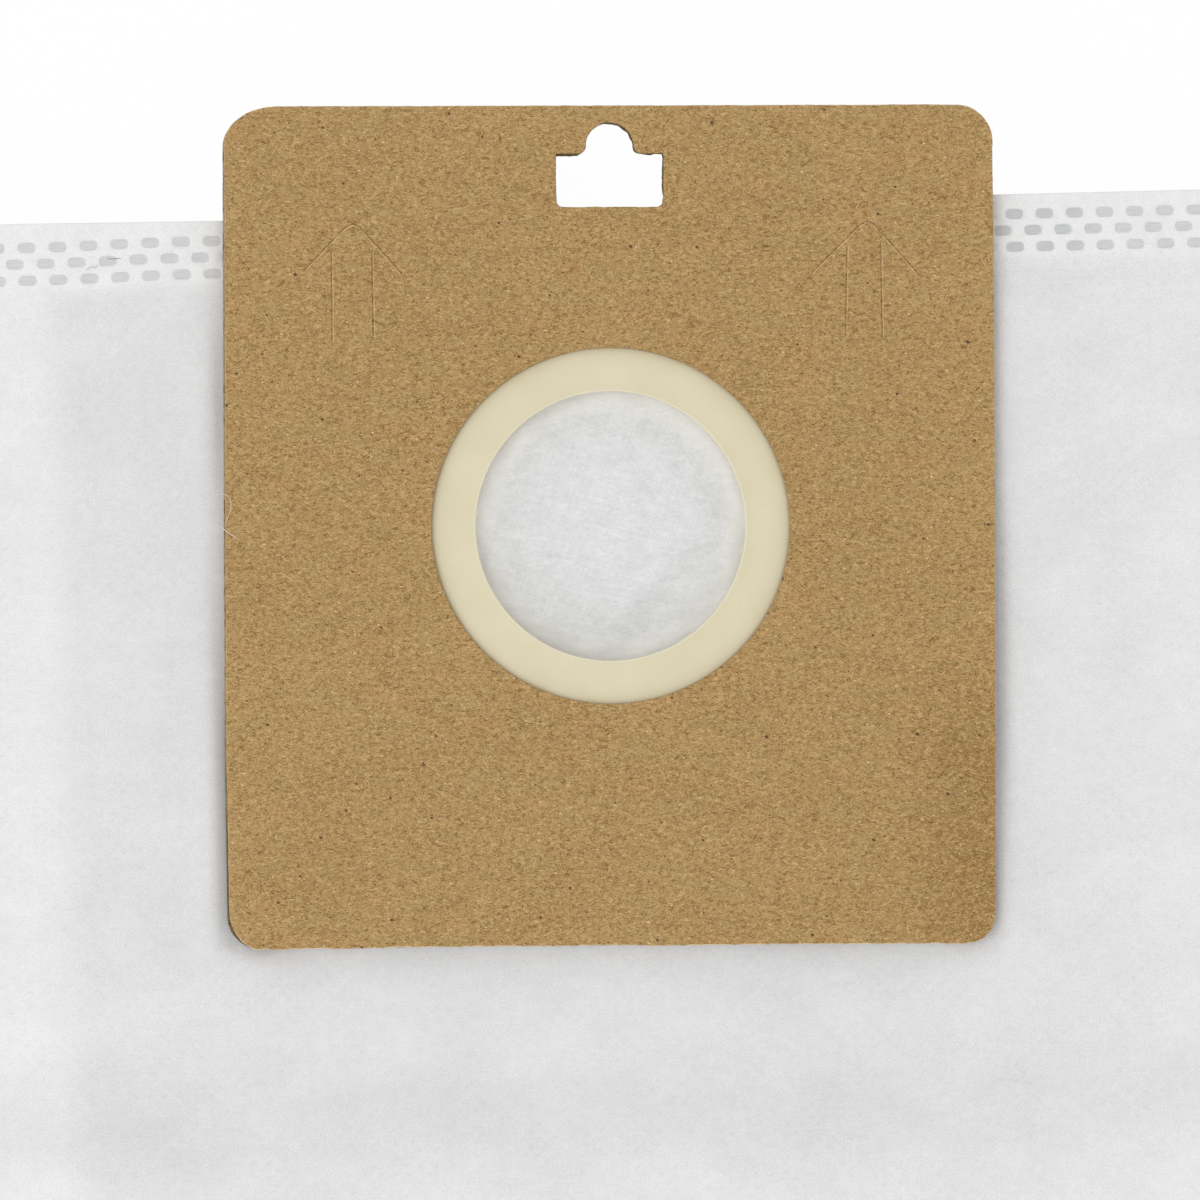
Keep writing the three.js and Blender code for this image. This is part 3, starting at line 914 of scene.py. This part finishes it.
# Places across the top edge, and how far the edge bends down there.
EDGE_SWAY = (
    [-103, -75, -51, 0, 12, 51, 75, 103],
    [-0.2, -0.23, 0.09, 0.15, 0.15, -0.48, -0.41, -0.3],
)


def across_at(pitch):
    """Across the panel, in millimetres, for a place counted in pitches from the left fold."""
    return np.interp(pitch, *PITCH_KNOTS)


def edge_bend(across, along):
    """How far the weld bends down out of the straight, through a few measured places and gone
    by the body. Its rows of dashes drift down a little more at the far left."""
    sway = np.interp(across, *EDGE_SWAY)
    drift = 0.55 * step(-across, 52, 76) * step(along, 0.4, 2)
    return (sway + drift) * (1 - step(along, 8, 20))


def pressed_dashes(across, from_end):
    """1 inside a dash and 0 outside. A dash is a superellipse: the fourth powers of the place's
    shares of half its length and width add up to 1 on its edge."""
    pitch = np.interp(across, PITCH_KNOTS[1], PITCH_KNOTS[0])
    scale = side_fold * 2 / PITCHES
    result = np.zeros(np.broadcast(across, from_end).shape)
    for row, centre in enumerate(DASH_ROWS):
        shift = DASH_SHIFT * (row % 2)
        nearest = np.round(pitch - shift)
        sideways = (pitch - shift - nearest) * scale
        wide = (np.abs(sideways) / (DASH_LENGTH / 2)) ** 4
        high = (np.abs(from_end - centre) / (DASH_WIDTH / 2)) ** 4
        inner = 1 - step((wide + high) ** 0.25, 0.88, 1.12)
        kept = np.abs(across_at(nearest + shift)) < side_fold - DASH_MARGIN
        result = np.maximum(result, inner * kept)
    return result


dash_lines = (DASH_ROWS[:, None] + [-0.74, -0.57, -0.28, 0.28, 0.57, 0.74]).ravel()
between = (DASH_ROWS[1:] + DASH_ROWS[:-1]) / 2
strip_rows = np.sort(np.concatenate([[0, 0.18, 0.7, 1.4], dash_lines, between, [8.1]]))
print("rows of the weld's grid:", len(strip_rows))


# %% [markdown]
# ## The bag's outer ply
# The grid is built in three blocks that share the same line round the bag: the fine rows of
# the top weld, the coarse rows of the body and the fine rows of the bottom weld. Between a
# fine and a coarse row the faces have six corners. Faces over the inlet are left out and the
# rim of the hole is moved onto its circle. Solidify then gives the ply its thickness. In the
# welds it grows until the pressed layers meet.

# %% Rows and columns of the outer ply
def body_rows():
    """Distances along the bag: close together where the panel bends, wide apart elsewhere."""
    collar_end = bag_top + top
    bends = [
        (WELD_BAND, 20, 1.5),
        (20, collar_end - 5, 4.2),
        (collar_end - 5, collar_end + 12, 1.7),
        (collar_end + 12, 132, 2.2),
        (132, BAG_LENGTH - 20, 6),
        (BAG_LENGTH - 20, BAG_LENGTH - WELD_BAND, 1.6),
    ]
    parts = [np.linspace(a, b, int(round((b - a) / size)), endpoint=False) for a, b, size in bends]
    return np.concatenate([*parts, [BAG_LENGTH - WELD_BAND]])


coarse_front = across_at(np.arange(PITCHES * 3 + 1) / 3)
fine_pitch = np.append((np.arange(PITCHES)[:, None] + FINE_PARTS).ravel(), PITCHES)
back_columns = np.linspace(side_fold, -side_fold, 28)[1:-1]
rows = body_rows()
print("rows of the body's grid:", len(rows))


def leaning_front(from_end):
    """Fine columns of one row: those near the middle row of dashes lean by that row's shift."""
    lean = np.interp(from_end, DASH_ROWS, [0, DASH_SHIFT - 1, 0])
    fade = np.clip(np.minimum(fine_pitch, PITCHES - fine_pitch) / 1.5, 0, 1)
    return across_at(fine_pitch + lean * fade)


def strip_block(from_ends, near_top):
    """Across, height, along, distance from the end and cloth map of every point of a weld."""
    blocks = []
    for from_end in from_ends:
        line, so_far, _, is_front, _ = section(leaning_front(from_end), back_columns, 0)
        along = np.full(len(line), from_end if near_top else BAG_LENGTH - from_end)
        dash = pressed_dashes(line[:, 0], from_end) * is_front
        blocks.append(np.column_stack([line, along, dash, so_far, is_front]))
    return np.array(blocks)


def body_block(alongs):
    """The same for the body, where there are no dashes."""
    line, so_far, _, is_front, _ = section(coarse_front, back_columns, 0)
    shape = (len(alongs), len(line), 1)
    flags = np.column_stack([np.zeros(len(line)), so_far, is_front])
    along = np.broadcast_to(alongs[:, None, None], shape)
    line, flags = (np.tile(part, (len(alongs), 1, 1)) for part in (line, flags))
    return np.concatenate([line, along, flags], axis=2)


# %% Joining the grids and opening the inlet
def fine_to_coarse(fine, coarse, fine_above):
    """Faces between a fine ring and a coarse one: six corners on the front, four elsewhere."""
    fine_front, coarse_front_count = len(fine_pitch), len(coarse_front)
    start = 3 * np.arange(coarse_front_count - 1)
    low = np.arange(coarse_front_count - 1)
    six = np.stack([
        fine[start], coarse[low], coarse[low + 1], fine[start + 3], fine[start + 2], fine[start + 1]
    ], axis=-1)
    fine_rest = np.append(fine[fine_front - 1:], fine[0])
    coarse_rest = np.append(coarse[coarse_front_count - 1:], coarse[0])
    four = np.stack([fine_rest[:-1], coarse_rest[:-1], coarse_rest[1:], fine_rest[1:]], axis=-1)
    if fine_above:
        return six.tolist() + four.tolist()
    return six[:, ::-1].tolist() + four[:, ::-1].tolist()


def open_inlet(points, quads, is_front):
    """Leave out the quads of the front panel over the inlet, and move the rim of the hole that
    they leave onto its circle. Gives the quads that stay."""
    middle = points[quads][:, :, :2].mean(1)
    over_inlet = (np.hypot(*middle.T) < BAG_HOLE / 2) & is_front[quads].all(1)
    rim = np.intersect1d(quads[over_inlet], quads[~over_inlet])
    points[rim, :2] *= (BAG_HOLE / 2 / np.hypot(*points[rim, :2].T))[:, None]
    return quads[~over_inlet].tolist()


def without_strays(points, faces):
    """Leave out points that no face uses. Gives the kept points' numbers and the faces in them."""
    corners = np.concatenate([np.asarray(face) for face in faces])
    kept = np.zeros(len(points), bool)
    kept[corners] = True
    new_number = np.cumsum(kept) - 1
    return np.flatnonzero(kept), [new_number[face].tolist() for face in faces]


# %% Build the outer ply
top_strip = strip_block(strip_rows, True)
body = body_block(rows)
bottom_strip = strip_block(strip_rows[::-1], False)
blocks = [top_strip, body, bottom_strip]
starts = np.cumsum([0] + [block.shape[0] * block.shape[1] for block in blocks])
numbers = [
    start + np.arange(block.shape[0] * block.shape[1]).reshape(block.shape[:2])
    for start, block in zip(starts, blocks)
]
across, height, along, dash, cloth_u, is_front = np.concatenate(
    [block.reshape(-1, block.shape[2]) for block in blocks]
).T
from_end = np.minimum(along, BAG_LENGTH - along)
in_weld = 1 - step(from_end, WELD_BAND - 1.2, WELD_BAND + 1)
tall = height + is_front * front_lift(across, along)
z = height_at(tall, along)
puff = 0.04 * step(from_end, 1, 2) * (1 - step(from_end, 7.6, 8.4)) * (1 - dash)
ripple = 0.05 * waves(np.column_stack([across, along]), 41, 12, 3, 14) * in_weld
z += is_front * (puff - DASH_DEPTH * dash + ripple)
sideways_bend = edge_bend(across, along)
bag_points = np.column_stack([across, bag_top - along - sideways_bend, z])

quads = np.concatenate([joined_rings(number) for number in numbers])
used = open_inlet(bag_points, quads, is_front)
used += fine_to_coarse(numbers[0][-1], numbers[1][0], True)
used += fine_to_coarse(numbers[2][0], numbers[1][-1], False)
kept, used = without_strays(bag_points, used)
outer_ply = make_piece(
    "outer_fabric", on_bag(bag_points[kept]), used, ("outer_bag",)
)
girth = section(coarse_front, back_columns, 0)[2]
add_cloth_map(outer_ply, cloth_u[kept], along[kept], girth)
# Whiter over the pleats and in the weld, greyer in a strip to the left of the collar. Painted
# light below the collar and towards the bottom; painted shade in the cross fold and on the
# dashes just to the collar's right, in its shadow.
left_pleat = step(-across, pleat_fold - 2, pleat_fold + 4)
right_pleat = 0.65 * step(across, pleat_fold - 20, pleat_fold + 8)
cross_fold_shade = np.exp(-(((along - BAG_LENGTH / 2) / 8) ** 2))
whiteness_and_painted_light = 0.24 * (left_pleat + right_pleat) * (1 - in_weld) + 0.34 * in_weld - 0.2 * cross_fold_shade
whiteness_and_painted_light -= 0.04 * step(-across, 44, 54) * (1 - left_pleat) * (1 - in_weld)
whiteness_and_painted_light += 0.08 * step(along, 97, 106) + 0.08 * step(along, BAG_LENGTH / 2, 136)
whiteness_and_painted_light -= 0.35 * dash * step(across, 44, 52) * (1 - step(across, 58, 68))
add_mask(outer_ply, "dash", dash[kept])
add_mask(outer_ply, "whiteness_and_painted_light", whiteness_and_painted_light[kept])
# The ply is thicker in the weld: two layers fill its height there, and four at the pleats.
PLY_FULL = 0.8
body_share = OUTER_PLY / PLY_FULL
weld_share = np.where(np.abs(across) < pleat_fold - 2, 0.9, 0.42)
ply_share = body_share + (weld_share - body_share) * (1 - step(from_end, 8, 12))
add_thickness(outer_ply, PLY_FULL, ply_share[kept])
girth * MM
print("girth of the tube in mm:", round(girth, 1))

# %% [markdown]
# ## Non-woven fabric
# The outer ply is spun from endless fibres and bonded by a heated roller with small points,
# which leaves a staggered lattice of faint dots, clearer in some places than in others.
# Between them the fibres run every way, and thin and thick places make soft clouds. Where the
# pleat's leaves lie under the panel there is more cloth behind it, so it looks whiter. All of
# that is paint and a very low bump, on the cloth's own map. The dashes' grey comes from the
# mask that was kept above.
# The mask of whiteness also holds painted light below the collar and towards the bottom, and
# painted shade in the cross fold and on the dashes beside the collar.

# %% The finish of the outer ply
# Distance from one bond to the next along a row, and between rows.
BOND_PITCH, BOND_ROW = 2.08, 1.0

finish = Finish("outer_fabric")
cloth = finish.node("UVMap", {"uv_map": "cloth"})
sides = finish.sides(cloth)
bond_x = (sides * (2 * math.pi / BOND_PITCH)).cosine()
bond_y = (sides.output("Y") * (math.pi / BOND_ROW)).cosine()
patches = finish.noise(cloth, 7, 3).between(0.42, 0.66)
bonds = (bond_x * bond_y).between(0.35, 0.95) * patches
falling = finish.noise(finish.stretch(cloth, (6, 1, 1), -0.85), 0.3, 2, 0.6, 0.3)
rising = finish.noise(finish.stretch(cloth, (6, 1, 1), 0.75), 0.3, 2, 0.6, 0.3)
fluff = finish.noise(cloth, 1.3, 4, 0.65)
fuzz = finish.noise(cloth, 0.26, 1, 0.6)
mottle = finish.noise(finish.stretch(cloth, (1.4, 1, 1)), 4.5, 3, 0.6)
clouds = finish.noise(cloth, 16, 2, 0.55)
pale_bits = finish.specks(cloth, 1.3, 0.11, 0.3)
dark_bits = finish.specks(finish.stretch(cloth, (1.6, 1, 1), 0.5), 1.7, 0.1, 0.25)
dash_mask = finish.mask("dash")
whiter_and_painted_light = finish.mask("whiteness_and_painted_light")
streaks = finish.noise(finish.stretch(cloth, (8, 1, 1)), 0.26, 2, 0.6)
light = (falling - 0.5) * 0.2 + (rising - 0.5) * 0.2 + (fluff - 0.5) * 0.5 + (fuzz - 0.5) * 0.85
light = light + (mottle - 0.5) * 0.34 + (clouds - 0.5) * 0.42
light = light + pale_bits * 0.22 - dark_bits * 0.25 - bonds * 0.12
light = light + whiter_and_painted_light + 0.5
colour = finish.blend(light, tone(206, 206, 207), tone(238, 238, 238))
# The dashes' grey takes the same mask, with its painted shade beside the collar.
pressed = (streaks - 0.5) * 1.6 + whiter_and_painted_light * 1.5
dash_colour = finish.blend(pressed, tone(197, 198, 199), tone(218, 218, 218))
colour = finish.blend(dash_mask.between(0.2, 0.8), colour, dash_colour)
height = fluff * 0.04 + fuzz * 0.01
bump = finish.bump(height)
outer_ply.data.materials.append(
    finish.end(Base_Color=colour, Roughness=0.8, Specular_IOR_Level=0.25, Normal=bump)
)

# %% [markdown]
# ## The fleece lining
# Inside the outer ply lies a second tube of soft fleece, which filters the dust. Through the
# inlet we see the fleece of the back panel. It isn't pressed, so it fluffs up under the hole
# and lies close behind the membrane, in soft lumps and one low fold. The shape is the same
# section further in. Its front has the outer ply's own columns, so that neither ply pokes
# through the other, and its back is fine only where it shows. Fleece passes light on inside
# itself, so it stays bright under the membrane's rim; paint can't, so it is whiter there.

# %% The lining's shape
LINER_START = 13.5
NEAR_INLET = 24
FLUFF_HEIGHT, FLUFF_RADIUS = 4.9, 20.0
liner_inset = OUTER_PLY + PLY_GAP


def spread_about(centre, reach, fine, low, high, coarse):
    """Places from low to high: one fine step apart within reach of a centre, else coarse."""
    start, stop = centre - reach, centre + reach
    return np.concatenate([
        np.linspace(low, start, max(2, int((start - low) / coarse)), endpoint=False),
        np.linspace(start, stop, int(2 * reach / fine), endpoint=False),
        np.linspace(stop, high, max(2, int((high - stop) / coarse))),
    ])


def fluffed(across, up):
    """How far the fleece stands up under the inlet: a flat-topped mound with soft lumps and a
    fold across it, which is a bell curve about a line."""
    radius = np.hypot(across, up)
    mound = 1 - step(radius, FLUFF_RADIUS, FLUFF_RADIUS + 14)
    places = np.stack([across, up], axis=-1)
    lumps = 0.16 * waves(places, 53, 16, 5, 16) + 0.07 * waves(places, 59, 20, 1.8, 4)
    from_fold = up + 3.6 - 0.12 * across
    reach = step(across, -2, 6) * (1 - step(across, 15, 19))
    fold = 0.3 * np.exp(-((from_fold / 1.5) ** 2)) * reach
    return mound * (FLUFF_HEIGHT + lumps + fold + 0.08 * np.minimum(up, 0))


# %% Build the lining
liner_back = spread_about(0, NEAR_INLET, 0.75, -side_fold, side_fold, 6)[::-1][1:-1]
liner_ends = [LINER_START, BAG_LENGTH - LINER_START]
is_between = (rows > liner_ends[0]) & (rows < liner_ends[1])
far_rows = rows[(np.abs(rows - bag_top) > NEAR_INLET) & is_between]
near_rows = bag_top + np.linspace(0.5 - NEAR_INLET, NEAR_INLET - 0.5, 64)
liner_rows = np.sort(np.concatenate([liner_ends, far_rows, near_rows]))
line, so_far, liner_girth, on_front, on_back = section(coarse_front, liner_back, liner_inset)
grid_along = np.broadcast_to(liner_rows[:, None], (len(liner_rows), len(line)))
grid_across = np.broadcast_to(line[:, 0], grid_along.shape)
tall = line[:, 1] + on_front * front_lift(grid_across, grid_along)
grid_z = height_at(tall, grid_along) + on_back * fluffed(grid_across, bag_top - grid_along)
liner_points = np.stack([grid_across, bag_top - grid_along, grid_z], axis=-1).reshape(-1, 3)
liner_number = np.arange(len(liner_points)).reshape(grid_along.shape)
fronts = np.tile(on_front, len(liner_rows))
used = open_inlet(liner_points, joined_rings(liner_number), fronts)
kept, used = without_strays(liner_points, used)
lining = make_piece(
    "fleece_lining", on_bag(liner_points[kept]), used, ("inner_liner",)
)
flat_u, flat_v = np.tile(so_far, len(liner_rows)), grid_along.ravel()
add_cloth_map(lining, flat_u[kept], flat_v[kept], liner_girth)
add_thickness(lining, LINER_PLY)
liner_girth * MM

# %% The finish of the fleece
finish = Finish("liner_fleece")
place = finish.place(INLET)
bundles = [
    finish.noise(finish.stretch(place, (9, 1, 1), turn), size, 2, 0.6, 0.5)
    for turn, size in ((0.3, 0.28), (1.25, 0.34), (2.2, 0.26), (2.9, 0.38))
]
fibres = bundles[0] + bundles[1] + bundles[2] + bundles[3] - 2
clouds = finish.noise(place, 3.2, 3, 0.6)
light = fibres * 0.7 + (clouds - 0.5) * 0.6 + 0.43
colour = finish.blend(light, tone(212, 212, 212), tone(240, 240, 240))
radius = finish.from_axis(place)
# Painted light: the fleece is painted lighter under the membrane's rim, for the light that it
# passes on inside itself.
rim_painted_light = radius.between(13.6, 17.4)
colour = finish.blend(rim_painted_light * (light * 0.5 + 0.8), colour, tone(252, 251, 246))
height = bundles[0] * 0.06 + clouds * 0.2
bump = finish.bump(height)
lining.data.materials.append(
    finish.end(Base_Color=colour, Roughness=0.95, Specular_IOR_Level=0.1, Normal=bump)
)

# %% [markdown]
# ## Stray fibres
# A new bag comes with a little lint: a dark fibre and a tiny curl lie on the weld, and two
# pale ones lie over the collar's left edge. Each is a thin strand, a small circle carried
# along a curve through a few points.

# %% Strands of lint
# Each strand: its radius, how pale it is and its route from the inlet's centre.
STRANDS = [
    (0.045, 0.0, [
        (-65.6, 35.2, 7.93), (-64.9, 35.05, 8.0), (-64.2, 35.15, 7.98), (-63.6, 35.1, 7.9),
    ]),
    (0.03, 0.15, [
        (-68.2, 33.6, 7.9), (-67.5, 34.1, 8.05), (-66.9, 33.9, 8.0), (-66.6, 34.4, 7.92),
    ]),
    (0.045, 1.0, [
        (-51.1, 4.45, 9.4), (-50.0, 4.3, 10.4), (-49.4, 3.95, 10.5), (-49.2, 3.0, 10.45),
        (-49.4, 2.0, 10.45), (-49.8, 1.05, 10.5), (-50.05, 0.0, 10.4),
    ]),
    (0.05, 1.0, [
        (-50.6, 0.15, 9.9), (-50.0, -0.4, 10.5), (-49.3, -0.9, 10.5), (-48.1, -1.65, 10.5),
    ]),
]
STRAND_STEPS, STRAND_SIDES = 28, 6


def strand(route, radius):
    """A closed tube: a circle carried along a smooth curve through the route's points, and
    shrunk to nearly nothing at its two ends."""
    route = np.asarray(route, float)
    knots = np.linspace(0, 1, len(route))
    places = np.linspace(0, 1, STRAND_STEPS)
    middle = np.column_stack([np.interp(places, knots, route[:, side]) for side in range(3)])
    for _ in range(3):
        middle[1:-1] = (middle[:-2] + 2 * middle[1:-1] + middle[2:]) / 4
    forward = np.gradient(middle, axis=0)
    forward /= np.linalg.norm(forward, axis=1)[:, None]
    sideways = np.cross(forward, [0, 0, 1])
    sideways /= np.linalg.norm(sideways, axis=1)[:, None]
    upward = np.cross(sideways, forward)
    angle = np.linspace(0, 2 * np.pi, STRAND_SIDES, endpoint=False)
    thick = radius * np.sqrt(np.clip(1 - (2 * places - 1) ** 2, 0.02, 1))
    ring = sideways[:, None] * np.cos(angle)[:, None] + upward[:, None] * np.sin(angle)[:, None]
    points = (middle[:, None] + ring * thick[:, None, None]).reshape(-1, 3)
    number = np.arange(len(points)).reshape(STRAND_STEPS, STRAND_SIDES)
    caps = [number[0].tolist(), number[-1, ::-1].tolist()]
    return points, joined_rings(number)[:, ::-1].tolist() + caps


strand_points, strand_faces, paleness = [], [], []
for radius, pale, route in STRANDS:
    points, faces = strand(route, radius)
    start = sum(len(part) for part in strand_points)
    strand_faces += [[corner + start for corner in face] for face in faces]
    strand_points.append(points)
    paleness.append(np.full(len(points), pale))
strand_points = on_collar(np.concatenate(strand_points))
lint = make_piece("stray_fibres", strand_points, strand_faces)
add_mask(lint, "pale", np.concatenate(paleness))
finish = Finish("lint")
pale = finish.mask("pale")
shine = finish.noise(finish.place(INLET), 0.3)
colour = finish.blend(pale, tone(70, 66, 62), tone(226, 216, 196))
colour = finish.blend(shine * 0.3, colour, tone(240, 236, 226))
lint.data.materials.append(finish.end(Base_Color=colour, Roughness=0.6))

# %% [markdown]
# ## Floor, light and camera
# The bag lies on a plain white floor in even light from all round, as under a light tent, so
# nothing casts a hard shadow and each colour comes out about as written. A broad lamp on the
# left adds a little direction, which brings out the dents. The floor gives off most of its
# white itself where the camera sees it, and the rest is ordinary paint, which keeps the bag's
# soft shadow. The camera looks straight down from far enough away that nothing looks larger
# for being near.

# %% Floor
FLOOR_SIZE = 3.0
FLOOR_LEVEL = -0.0003
GLOW_SHARE = 0.975
half = FLOOR_SIZE / 2
floor_mesh = bpy.data.meshes.new("floor")
directions = ((-1, -1), (1, -1), (1, 1), (-1, 1))
floor_corners = [(x * half, y * half, FLOOR_LEVEL) for x, y in directions]
floor_mesh.from_pydata(floor_corners, [], [(0, 1, 2, 3)])
floor = bpy.data.objects.new("floor", floor_mesh)
bpy.context.scene.collection.objects.link(floor)

finish = Finish("floor_white")
paint = finish.node("BsdfDiffuse", None, {"Color": (0.92, 0.92, 0.92, 1)})
glow = finish.node("Emission", None, {"Color": (1, 1, 1, 1), "Strength": 1})
seen = finish.node("LightPath", output="Is Camera Ray")
mirrored = seen.output("Is Glossy Ray")
through = seen.output("Is Transmission Ray")
share = seen.larger(mirrored).larger(through) * GLOW_SHARE
surface = finish.node("MixShader", None, {0: share, 1: paint, 2: glow})
finish.node("OutputMaterial", None, {"Surface": surface})
floor.data.materials.append(finish.material)

# %% Light
WORLD_STRENGTH = 0.88
LAMP_SHARE = 0.16
LAMP_PLACE = np.array([-0.45, -0.1, 1.0])
LAMP_SIZE = 0.8

world = bpy.data.worlds.new("tent")
world.use_nodes = True
background = world.node_tree.nodes["Background"]
background.inputs["Color"].default_value = (1, 1, 1, 1)
background.inputs["Strength"].default_value = WORLD_STRENGTH
bpy.context.scene.world = world

# A disk that gives this share of white light at the bag's middle, from any distance.
distance = float(np.linalg.norm(LAMP_PLACE))
slant = LAMP_PLACE[2] / distance
lamp_data = bpy.data.lights.new("broad_lamp", "AREA")
lamp_data.shape = "DISK"
lamp_data.size = LAMP_SIZE
lamp_data.energy = LAMP_SHARE * math.pi ** 2 * distance ** 2 / slant
lamp = bpy.data.objects.new("broad_lamp", lamp_data)
lamp.location = LAMP_PLACE
lamp.rotation_euler = (0, math.acos(slant), math.atan2(LAMP_PLACE[1], LAMP_PLACE[0]))
bpy.context.scene.collection.objects.link(lamp)
print("lamp power in watts:", round(lamp_data.energy, 2))

# %% Camera
# Millimetres across the picture at the collar's face, and from there up to the camera. The
# picture's middle is given from the inlet's centre, along the picture's own sides.
FRAME_WIDTH = 155.8
CAMERA_HEIGHT = 700
CAMERA_ROLL = math.radians(-0.25)
FRAME_CENTRE = (-1.36, -9.63)
SENSOR = 36

camera_data = bpy.data.cameras.new("camera")
camera_data.sensor_width = SENSOR
camera_data.lens = SENSOR * CAMERA_HEIGHT / FRAME_WIDTH
camera_data.clip_start = 0.01
camera = bpy.data.objects.new("camera", camera_data)
turn_x = FRAME_CENTRE[0] * math.cos(CAMERA_ROLL) - FRAME_CENTRE[1] * math.sin(CAMERA_ROLL)
turn_y = FRAME_CENTRE[0] * math.sin(CAMERA_ROLL) + FRAME_CENTRE[1] * math.cos(CAMERA_ROLL)
camera.location = on_collar([(turn_x, turn_y, board_high[2] + CAMERA_HEIGHT)])[0]
camera.rotation_euler = (0, 0, CAMERA_ROLL)
bpy.context.scene.collection.objects.link(camera)
bpy.context.scene.camera = camera
bpy.context.scene.view_settings.view_transform = "Standard"
